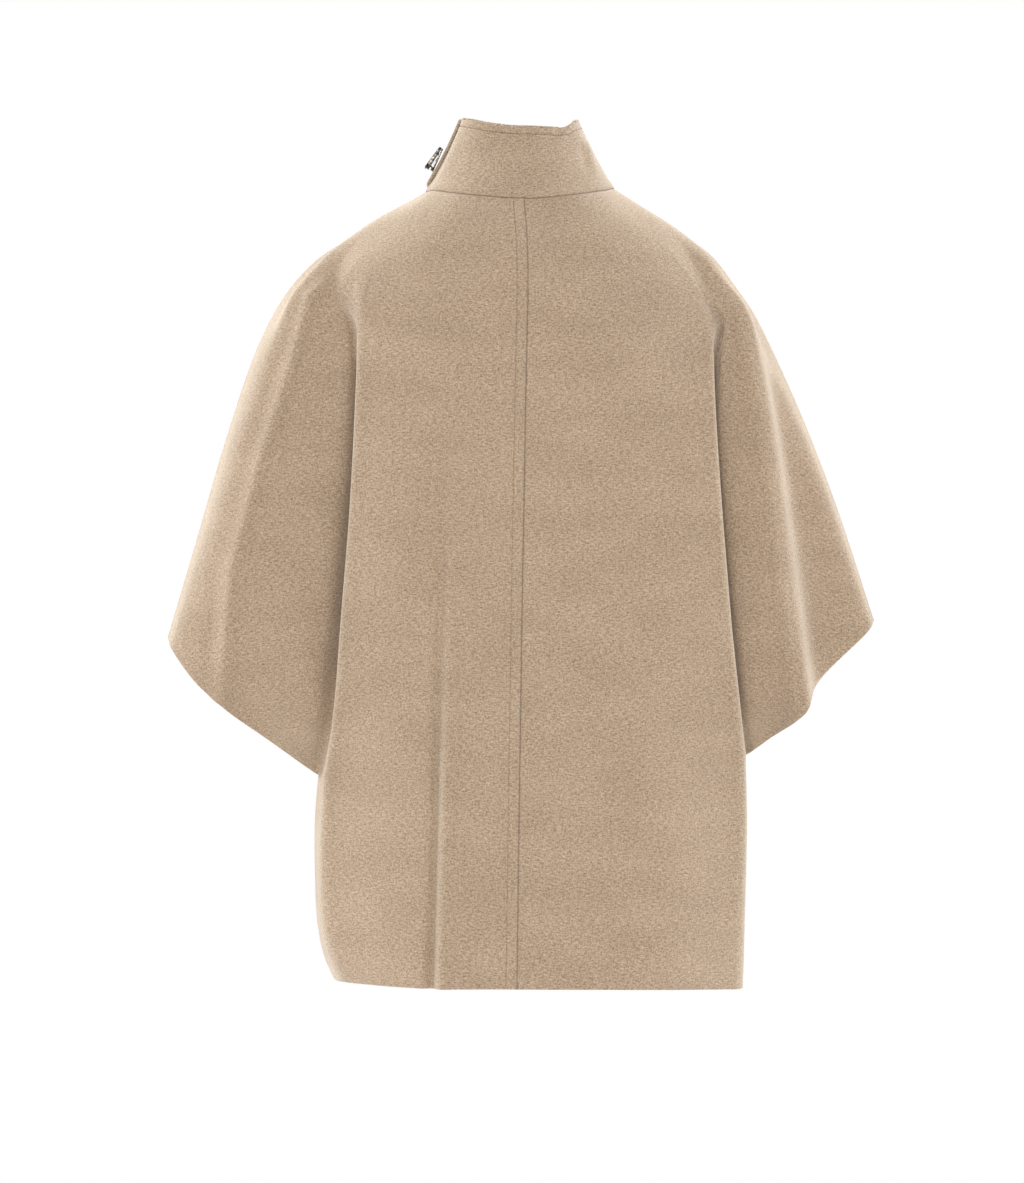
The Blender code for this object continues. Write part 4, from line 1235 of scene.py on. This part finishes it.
# The slow layer multiplies the tone by one of these
CLOUD_DARK, CLOUD_LIGHT = (0.95, 0.94, 0.93, 1.0), (1.04, 1.04, 1.04, 1.0)
FIBRES = {
    # Grains per metre along and across the weft, degrees off the weft, detail, roughness, shift
    "streaks": ((210, 760), 0, 4.0, 0.66, 0.0),
    "grain": ((620, 460), 8, 5.0, 0.70, 3.1),
    "hairs": ((170, 2100), -21, 2.0, 0.55, 7.7),
    "flecks": ((300, 1150), 14, 3.0, 0.6, 11.3),
    "clouds": ((14, 30), 0, 2.0, 0.5, 1.9),
}
# The ranges of noise that go from one colour to the other, with the new range where that isn't 0 to 1
TONE_RANGE, CLOUD_RANGE = (0.37, 0.63), (0.3, 0.7)
FLECK_RANGE, HAIR_RANGE = (0.60, 0.72, 0.0, 0.70), (0.62, 0.74, 0.0, 0.60)
GRAIN_SHARE, SAND_SHARE = 0.60, 0.12
# The nap's relief: weights of grain and hairs beside the streaks, its strength and its depth in metres
NAP_GRAIN, NAP_HAIRS, NAP_STRENGTH, NAP_DEPTH = 0.8, 0.5, 0.55, 0.0009


# %% The wool
def wool_relief(tree, shader, streaks, grain, hairs):
    """Gives the shader the nap's relief."""
    nap = add_values(tree, add_values(tree, streaks, grain, NAP_GRAIN), hairs, NAP_HAIRS)
    bump = tree.nodes.new("ShaderNodeBump")
    bump.inputs["Strength"].default_value = NAP_STRENGTH
    bump.inputs["Distance"].default_value = NAP_DEPTH
    tree.links.new(nap, bump.inputs["Height"])
    tree.links.new(bump.outputs["Normal"], shader.inputs["Normal"])


def heather_wool(name, shift):
    """Brushed wool of mixed fibres. A shift moves its pattern, so that no two cuts are alike."""
    made, tree, shader = new_material(name)
    place = tree.nodes.new("ShaderNodeUVMap")
    place.uv_map = "flat"
    cut = place.outputs["UV"]
    layers = [fibre_noise(tree, cut, *fibre[:4], shift + fibre[4]) for fibre in FIBRES.values()]
    streaks, grain, hairs, flecks, clouds = layers
    tone = blend_colours(tree, spread(tree, streaks, *TONE_RANGE), BROWN, PALE)
    fine = blend_colours(tree, spread(tree, grain, *TONE_RANGE), BROWN, PALE)
    tone = blend_colours(tree, GRAIN_SHARE, tone, fine)
    tone = blend_colours(tree, SAND_SHARE, tone, SAND)
    tone = blend_colours(tree, spread(tree, flecks, *FLECK_RANGE), tone, FLECK)
    tone = blend_colours(tree, spread(tree, hairs, *HAIR_RANGE), tone, CREAM)
    slow = blend_colours(tree, spread(tree, clouds, *CLOUD_RANGE), CLOUD_DARK, CLOUD_LIGHT)
    tone = blend_colours(tree, 1.0, tone, slow, "MULTIPLY")
    # The shade number paints shade into the seams' grooves and the stitches' channels
    seams = tree.nodes.new("ShaderNodeAttribute")
    seams.attribute_name = "shade"
    tone = blend_colours(tree, seams.outputs["Fac"], tone, CREVICE_SHADE)
    tree.links.new(tone, shader.inputs["Base Color"])
    wool_relief(tree, shader, streaks, grain, hairs)
    shader.inputs["Roughness"].default_value = 0.95
    shader.inputs["Specular IOR Level"].default_value = 0.2
    shader.inputs["Sheen Weight"].default_value = 0.6
    shader.inputs["Sheen Roughness"].default_value = 0.5
    shader.inputs["Sheen Tint"].default_value = (1.0, 0.93, 0.84, 1.0)
    return made


PATTERN_SHIFTS = {
    "back_left": 0.0,
    "back_right": 41.0,
    "front_left": 83.0,
    "front_right": 127.0,
    "collar": 171.0,
}
wools = {name: heather_wool("heather_wool_" + name, shift) for name, shift in PATTERN_SHIFTS.items()}
print("Wool for", len(wools), "cuts of the same colour")

# %% [markdown]
# ## Sewing the sheets
#
# Now each grid becomes a closed sheet of cloth. At a seam the two edges are round and nearly touch. No
# light shows through, and painted shade on their turned-in walls draws the seam as a fine dark line. At a
# hem the edge is round too, as folded cloth is.

# %% Build the wall of a sheet
# Radius of a sewn edge, and that of a free one as a share of the cloth's thickness
SEAM_ROUND, EDGE_ROUND = 1.1, 0.46
# The way in which the wall and the inner face go on across the flat cut, so that the pattern isn't smeared
EDGE_WAY = np.array([0.7, 0.7])
# How much painted shade darkens each ring of a sewn edge, from the outer face to the inner one
SEAM_SHADE = (0.35, 0.85, 0.85, 0.35)


def wall_rings(sheet, base, wall, turn):
    """The numbers of the rim's points, and four rings of places for them, from the outer face inwards."""
    rim = np.unique(sheet.rim)
    way, normal = sheet.out[rim], sheet.normals[rim]
    made = []
    for inside, angle in ((False, 45), (False, 90), (True, 90), (True, 45)):
        reach = turn[rim] * (math.sin(math.radians(angle)) - 1.0)
        drop = turn[rim] * (1.0 - math.cos(math.radians(angle)))
        high = drop - wall[rim] if inside else sheet.raised[rim] - drop
        made.append(base[rim] + way * reach[:, None] + normal * high[:, None])
    return rim, made


def wall_faces(sheet, rim, ring_count):
    """Faces from the outer face's rim over the rings to the inner face's rim."""
    count = len(sheet.points)
    number = -np.ones(count, dtype=int)
    number[rim] = np.arange(len(rim))
    a, b = sheet.rim[:, 0], sheet.rim[:, 1]
    chains = [(a, b)]
    for k in range(ring_count):
        start = 2 * count + k * len(rim)
        chains.append((start + number[a], start + number[b]))
    chains.append((a + count, b + count))
    return [np.stack([b0, a0, a1, b1], axis=1) for (a0, b0), (a1, b1) in zip(chains[:-1], chains[1:])]


def wall_places(sheet, rim, start, rings_made):
    """Places of the rings on the flat cut, as far from the rim's own as they are over the edge."""
    far, places = 0.0, []
    for before, after in zip([start] + rings_made[:-1], rings_made):
        far = far + np.linalg.norm(after - before, axis=1)[:, None] * MM
        places.append(sheet.flat[rim] + far * EDGE_WAY)
    return places


# %% Build and place the sheets
def sew(sheet, look):
    """The finished piece of a sheet: outer and inner face, rounded rim and its places on the cut."""
    wall = (sheet.thickness + sheet.extra) * sheet.mitre
    turn = np.where(sheet.sewn, SEAM_ROUND, EDGE_ROUND * sheet.thickness)
    base = sheet.points - sheet.out * np.where(sheet.sewn, SEAM_GAP / 2.0, 0.0)[:, None]
    outer = base + sheet.normals * sheet.raised[:, None]
    inner = base - sheet.normals * wall[:, None]
    rim, rings_made = wall_rings(sheet, base, wall, turn)
    for face in (outer, inner):
        face[rim] -= sheet.out[rim] * turn[rim][:, None]
    points = np.concatenate([outer, inner] + rings_made)
    faces = [sheet.quads, sheet.quads[:, ::-1] + len(sheet.points)]
    faces = np.concatenate(faces + wall_faces(sheet, rim, len(rings_made)))
    places = wall_places(sheet, rim, outer[rim], rings_made)
    flat = np.concatenate([sheet.flat, sheet.flat + CLOTH * MM * EDGE_WAY] + places)
    shade = np.concatenate([sheet.shade, 0.0 * sheet.shade] + [dark * sheet.sewn[rim] for dark in SEAM_SHADE])
    return cloth_mesh(sheet.name, points, faces, flat, shade, look)


def cloth_mesh(name, points, faces, flat, shade, look):
    """A smooth mesh with its places on the flat cut as a UV map and its shade at each point."""
    mesh = bpy.data.meshes.new("wool_" + name)
    mesh.from_pydata((points * MM).tolist(), [], faces.tolist())
    layer = mesh.uv_layers.new(name="flat")
    layer.data.foreach_set("uv", flat[faces.reshape(-1)].reshape(-1).astype(np.float32))
    mesh.attributes.new("shade", "FLOAT", "POINT").data.foreach_set("value", shade.astype(np.float32))
    mesh.materials.append(look)
    mesh.shade_smooth()
    mesh.update()
    piece = bpy.data.objects.new("wool_" + name, mesh)
    bpy.context.collection.objects.link(piece)
    return piece


for sheet in every_sheet:
    piece = sew(sheet, wools[sheet.name])
    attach(piece, "root")
    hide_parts(sheet.name)
    print(piece.name, len(piece.data.polygons), "faces")

# %% [markdown]
# ## Topstitching
#
# Three lines of stitches show: beside the centre back seam, along the front's edge and round the collar's
# top, where the thread is darkest. They lie in their channels, darker than the cloth. One stitch is
# modelled: a short length of thread, thick in the middle, whose ends dive into the cloth. It is then laid
# along each line at an even pitch. A dashed texture would be flat; real thread catches light and throws a
# tiny shadow.

# %% One stitch
STITCH_PITCH, STITCH_LENGTH, THREAD = 2.9, 2.3, 0.52
# Places along it where it is cut across, and from where its ends become thinner and dive, and how much
STITCH_CUTS = (0.55, -0.55)
END_FROM, END_THIN, END_DIVE = 1.0, 0.55, 0.34
# Turns a cylinder, so that it lies along X
ALONG_X = (0, math.pi / 2, 0)

bpy.ops.object.select_all(action="DESELECT")
bpy.ops.mesh.primitive_cylinder_add(vertices=7, radius=THREAD / 2, depth=STITCH_LENGTH, rotation=ALONG_X)
stitch = bpy.context.object
bpy.ops.object.transform_apply(location=True, rotation=True, scale=True)
bpy.ops.object.mode_set(mode="EDIT")
for cut in STITCH_CUTS:
    bpy.ops.mesh.select_all(action="SELECT")
    bpy.ops.mesh.bisect(plane_co=(cut, 0, 0), plane_no=(1, 0, 0))
bpy.ops.object.mode_set(mode="OBJECT")
for vertex in stitch.data.vertices:
    if abs(vertex.co.x) > END_FROM:
        vertex.co.y *= END_THIN
        vertex.co.z = vertex.co.z * END_THIN - END_DIVE
stitch_points = np.array([vertex.co[:] for vertex in stitch.data.vertices])
stitch_faces = [list(face.vertices) for face in stitch.data.polygons]
bpy.data.objects.remove(stitch)
print("One stitch:", len(stitch_points), "points,", len(stitch_faces), "faces")

# %% Thread
def thread(name, dark, light):
    """Twisted thread: two tones of one colour along its turns."""
    made, tree, shader = new_material(name)
    coords = tree.nodes.new("ShaderNodeTexCoord")
    twist = tree.nodes.new("ShaderNodeTexNoise")
    twist.inputs["Scale"].default_value = 900.0
    twist.inputs["Detail"].default_value = 2.0
    tree.links.new(coords.outputs["Object"], twist.inputs["Vector"])
    tones = blend_colours(tree, spread(tree, twist.outputs["Fac"], 0.35, 0.65), dark, light)
    tree.links.new(tones, shader.inputs["Base Color"])
    shader.inputs["Roughness"].default_value = 0.75
    shader.inputs["Sheen Weight"].default_value = 0.25
    return made


seam_thread = thread("sand_brown_thread", (0.110, 0.070, 0.044, 1.0), (0.215, 0.150, 0.100, 1.0))
collar_thread = thread("dark_brown_thread", (0.035, 0.020, 0.013, 1.0), (0.090, 0.055, 0.036, 1.0))


# %% Lay stitches along a line
# The first stitch is this far in, the last stops short of the end, and each is aimed by this much of the
# line before and after it. The thread's middle stands up out of the line by a share of its thickness.
STITCH_START, STITCH_SPARE, STITCH_AIM, THREAD_PROUD = 4.0, 6.0, 1.0, 0.15


def lay_stitches(name, line, normals, look=seam_thread):
    """Copies of the stitch along a line of points on the cloth, as one piece."""
    step = np.linalg.norm(np.diff(line, axis=0), axis=1)
    keep = np.concatenate([[True], step > 1e-6])
    line, normals = line[keep], normals[keep]
    far = np.concatenate([[0.0], np.cumsum(np.linalg.norm(np.diff(line, axis=0), axis=1))])
    count = int((far[-1] - STITCH_SPARE) / STITCH_PITCH)
    at = STITCH_START + STITCH_PITCH * np.arange(count)

    def read(values, where):
        return np.stack([np.interp(where, far, values[:, k]) for k in range(3)], axis=1)

    along = unit(read(line, at + STITCH_AIM) - read(line, at - STITCH_AIM))
    up = read(normals, at)
    up = unit(up - along * (up * along).sum(axis=1)[:, None])
    side = np.cross(up, along)
    centre = read(line, at) + up * THREAD * THREAD_PROUD
    turn = np.stack([along, side, up], axis=1)
    points = (np.einsum("pk,nkj->npj", stitch_points, turn) + centre[:, None]).reshape(-1, 3)
    faces = [[v + n * len(stitch_points) for v in face] for n in range(count) for face in stitch_faces]
    mesh = bpy.data.meshes.new(name)
    mesh.from_pydata((points * MM).tolist(), [], faces)
    mesh.materials.append(look)
    mesh.shade_smooth()
    piece = bpy.data.objects.new(name, mesh)
    bpy.context.collection.objects.link(piece)
    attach(piece, "root")
    print(name, count, "stitches")


def column_line(sheet, column):
    """The points and normals down one column of a sheet."""
    cells = sheet.grid[:, column]
    return sheet.shaped()[cells], sheet.normals[cells]


strip_column = NEAR_CENTRE.index(STITCH_FROM_SEAM)
lap_column = LAP_COLUMNS - NEAR_CENTRE.index(LAP_REACH - STITCH_FROM_EDGE)
lay_stitches("stitches_centre_back", *column_line(back_left, strip_column))
lay_stitches("stitches_front_edge", *column_line(front_right, lap_column))

# %% Stitches along the collar's top
top_row = collar.grid[LOW_LEVELS + int(np.where(FROM_TOP[::-1] == STITCH_FROM_EDGE)[0][0])]
# The inner end's first columns are hidden and the last column is the outer end's edge, so they have none
HIDDEN_COLUMNS = 6
round_top = top_row[HIDDEN_COLUMNS:-1]
lay_stitches("stitches_collar_top", collar.shaped()[round_top], collar.normals[round_top], collar_thread)

# %% [markdown]
# ## The clasp
#
# A small metal clasp holds the collar's outer end. It is a thin plate riveted to the cloth, a thick
# lever that folds down over it, and a bent link that joins their feet. Plate and lever are pressed from
# sheet with side walls, which are highest at the foot, and then tumbled. So each starts as a cube at its
# real size, gets round corners, is drawn out into a wedge, hollowed by an inset, and softened last.

# %% Where the clasp stands
# Degrees round the neck, share of the collar's height, gap to the cloth, degrees nearer upright than it
CLASP_ANGLE, CLASP_SHARE, CLASP_STAND, CLASP_UPRIGHT = 86.0, 0.25, 0.6, 3.0

foot, top = neck_points(CLASP_ANGLE), top_points(CLASP_ANGLE)
facing = math.radians(90.0 - CLASP_ANGLE)
outward = np.array([math.cos(facing), math.sin(facing), 0.0])
seat = foot + (top - foot) * CLASP_SHARE - outward * math.sin(math.pi * CLASP_SHARE) * COLLAR_HOLLOW
rise = top - foot
lean = math.atan2(-float(rise @ outward), rise[2]) - math.radians(CLASP_UPRIGHT)
clasp_place = Matrix.Translation(Vector((seat + outward * CLASP_STAND) * MM))
clasp_place = clasp_place @ Matrix.Rotation(facing, 4, "Z") @ Matrix.Rotation(-lean, 4, "Y")
print("Clasp at", [round(v / MM) for v in clasp_place.translation], "mm")

# %% Aged nickel
TARNISHED, WORN = (0.020, 0.018, 0.016, 1), (0.105, 0.098, 0.088, 1)
PATINA_SCALE, SCUFF_SCALE = 420.0, 2600.0
SCUFF_STRENGTH, SCUFF_DEPTH = 0.12, 0.00005

nickel, tree, shader = new_material("aged_nickel")
coords = tree.nodes.new("ShaderNodeTexCoord")


def metal_noise(scale, detail):
    noise = tree.nodes.new("ShaderNodeTexNoise")
    noise.inputs["Scale"].default_value = scale
    noise.inputs["Detail"].default_value = detail
    tree.links.new(coords.outputs["Object"], noise.inputs["Vector"])
    return noise.outputs["Fac"]


patina, scuffs = metal_noise(PATINA_SCALE, 4.0), metal_noise(SCUFF_SCALE, 2.0)
bright = blend_colours(tree, spread(tree, patina, 0.40, 0.64), TARNISHED, WORN)
tree.links.new(bright, shader.inputs["Base Color"])
tree.links.new(spread(tree, scuffs, 0.35, 0.65, 0.22, 0.34), shader.inputs["Roughness"])
bump = tree.nodes.new("ShaderNodeBump")
bump.inputs["Strength"].default_value = SCUFF_STRENGTH
bump.inputs["Distance"].default_value = SCUFF_DEPTH
tree.links.new(scuffs, bump.inputs["Height"])
tree.links.new(bump.outputs["Normal"], shader.inputs["Normal"])
shader.inputs["Metallic"].default_value = 1.0
print("Metal:", nickel.name)


# %% Select by place
def select_none(kind):
    """Selects nothing of the active piece, for edges or for faces, and ends in object mode."""
    bpy.ops.object.mode_set(mode="EDIT")
    bpy.ops.mesh.select_mode(type=kind)
    bpy.ops.mesh.select_all(action="DESELECT")
    bpy.ops.object.mode_set(mode="OBJECT")


def select_edges(piece, wanted):
    """Selects the edges of the active piece whose two ends pass a test."""
    select_none("EDGE")
    for edge in piece.data.edges:
        a, b = (piece.data.vertices[v].co for v in edge.vertices)
        edge.select = wanted(a, b)
    bpy.ops.object.mode_set(mode="EDIT")


def select_faces(piece, wanted):
    """Selects the faces of the active piece that pass a test."""
    select_none("FACE")
    for face in piece.data.polygons:
        face.select = wanted(face)
    bpy.ops.object.mode_set(mode="EDIT")


# %% Plate and lever
# Sizes: thick, wide, high. The lever's foot stands out from the plate, and it leans back to close
PLATE_SIZE, LEVER_SIZE = (1.3, 13.0, 23.0), (2.6, 13.0, 24.0)
LEVER_FOOT_OUT, LEVER_CLOSE = 6.8, 13.0
# Edges turn from soft to sharp at this angle
SHARP = math.radians(40)
# Tests of place and direction allow for a little rounding
MOST, BARELY_OVER_HALF, FACING, TINY = 0.9, 0.51, 0.8, 1e-6


def finish_metal(piece, node, place):
    """Puts a finished metal piece in its place, with its place in its mesh."""
    bpy.ops.object.mode_set(mode="OBJECT")
    piece.name = "metal_" + node
    piece.data.transform(clasp_place @ place)
    piece.data.materials.clear()
    piece.data.materials.append(nickel)
    bpy.ops.object.shade_smooth_by_angle(angle=SHARP)
    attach(piece, "root")
    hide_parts(node)
    print(piece.name, len(piece.data.polygons), "faces")


def stamped_plate(node, place, size, corner, soft, wall, rim, facing_out):
    """A plate on its foot, with round corners and a wall round its face, which is highest at the foot."""
    bpy.ops.object.select_all(action="DESELECT")
    bpy.ops.mesh.primitive_cube_add(size=1.0)
    piece = bpy.context.object
    piece.scale = [v * MM for v in size]
    piece.location = (size[0] * MM / 2, 0.0, size[2] * MM / 2)
    bpy.ops.object.transform_apply(location=True, rotation=True, scale=True)
    across = size[0] * MM * MOST
    select_edges(piece, lambda a, b: abs(a.x - b.x) > across)
    bpy.ops.mesh.bevel(offset=corner * MM, segments=8, affect="EDGES")
    bpy.ops.object.mode_set(mode="OBJECT")
    level, way = (size[0] * MM, 1.0) if facing_out else (0.0, -1.0)
    for vertex in piece.data.vertices:
        if abs(vertex.co.x - level) < TINY:
            vertex.co.x += way * wall * MM * (1.0 - vertex.co.z / (size[2] * MM))
    select_faces(piece, lambda face: face.normal.x * way > FACING)
    bpy.ops.mesh.inset(thickness=rim * MM)
    bpy.ops.object.mode_set(mode="OBJECT")
    for face in piece.data.polygons:
        if face.select:
            for v in face.vertices:
                piece.data.vertices[v].co.x = level
    side = size[1] * MM * BARELY_OVER_HALF
    select_edges(piece, lambda a, b: abs(a.y) < side and a.x != level and b.x != level)
    bpy.ops.mesh.bevel(offset=soft * MM, segments=3, affect="EDGES", clamp_overlap=True)
    finish_metal(piece, node, place)


stamped_plate(
    "clasp_plate", Matrix(), PLATE_SIZE, corner=3.0, soft=0.25, wall=1.9, rim=1.0, facing_out=True
)
lever_place = Matrix.Translation((LEVER_FOOT_OUT * MM, 0, 0))
lever_place = lever_place @ Matrix.Rotation(-math.radians(LEVER_CLOSE), 4, "Y")
stamped_plate(
    "clasp_lever", lever_place, LEVER_SIZE, corner=4.5, soft=0.5, wall=2.3, rim=1.1, facing_out=False
)

# %% [markdown]
# The link is a strip of metal that is bent round half a circle, from the foot of the plate to the foot of
# the lever, so a small plane is spun about an axis across the clasp. Each rivet is a short cylinder with
# its outer edge well rounded.

# %% Link
LINK_THICK, LINK_WIDTH, LINK_ROUND = 1.4, 6.4, 0.3
# It hangs a little below the feet that it joins
LINK_DROP = 0.34
SPIN_STEPS, SAME = 20, 1e-7


def along_the_bend(a, b):
    """True for a short edge whose ends are equally far from the axis and on one side of the strip."""
    return abs(a.length - b.length) < SAME and abs(a.y - b.y) < SAME and (a - b).length < MM


link_out = (LEVER_FOOT_OUT + LEVER_SIZE[0] / 2 + PLATE_SIZE[0] / 2) / 2
link_radius = (LEVER_FOOT_OUT + LEVER_SIZE[0] / 2 - PLATE_SIZE[0] / 2) / 2
bpy.ops.object.select_all(action="DESELECT")
bpy.ops.mesh.primitive_plane_add(size=1.0)
link = bpy.context.object
link.scale = (LINK_THICK * MM, LINK_WIDTH * MM, 1.0)
link.location = (-link_radius * MM, 0.0, 0.0)
bpy.ops.object.transform_apply(location=True, rotation=True, scale=True)
bpy.ops.object.mode_set(mode="EDIT")
bpy.ops.mesh.select_all(action="SELECT")
bpy.ops.mesh.spin(steps=SPIN_STEPS, angle=math.pi, center=(0, 0, 0), axis=(0, -1, 0), use_auto_merge=False)
bpy.ops.mesh.select_all(action="SELECT")
bpy.ops.mesh.remove_doubles(threshold=SAME)
bpy.ops.mesh.normals_make_consistent(inside=False)
bpy.ops.object.mode_set(mode="OBJECT")
select_edges(link, along_the_bend)
bpy.ops.mesh.bevel(offset=LINK_ROUND * MM, segments=3, affect="EDGES")
finish_metal(link, "clasp_link", Matrix.Translation((link_out * MM, 0, -LINK_DROP * MM)))

# %% Rivets
RIVET_RADIUS, RIVET_HIGH, RIVET_ROUND = 1.5, 0.8, 0.5
# Each one's share of the way up the plate, and how far its head stands off the plate's face
RIVET_SHARES = {"clasp_rivet_upper": 0.72, "clasp_rivet_lower": 0.4}
RIVET_GAP = 0.3

rivet_out = PLATE_SIZE[0] + RIVET_GAP + RIVET_HIGH / 2
for node, share in RIVET_SHARES.items():
    bpy.ops.object.select_all(action="DESELECT")
    bpy.ops.mesh.primitive_cylinder_add(
        vertices=28, radius=RIVET_RADIUS * MM, depth=RIVET_HIGH * MM, rotation=ALONG_X
    )
    rivet = bpy.context.object
    bpy.ops.object.transform_apply(location=True, rotation=True, scale=True)
    select_edges(rivet, lambda a, b: a.x > 0 and b.x > 0)
    bpy.ops.mesh.bevel(offset=RIVET_ROUND * MM, segments=5, affect="EDGES")
    finish_metal(rivet, node, Matrix.Translation((rivet_out * MM, 0, PLATE_SIZE[2] * share * MM)))

# %% [markdown]
# ## Closing
#
# The cape's sheets hang in folds, and the collar stands stretched round.

print("Sheets declared:", len(every_sheet))
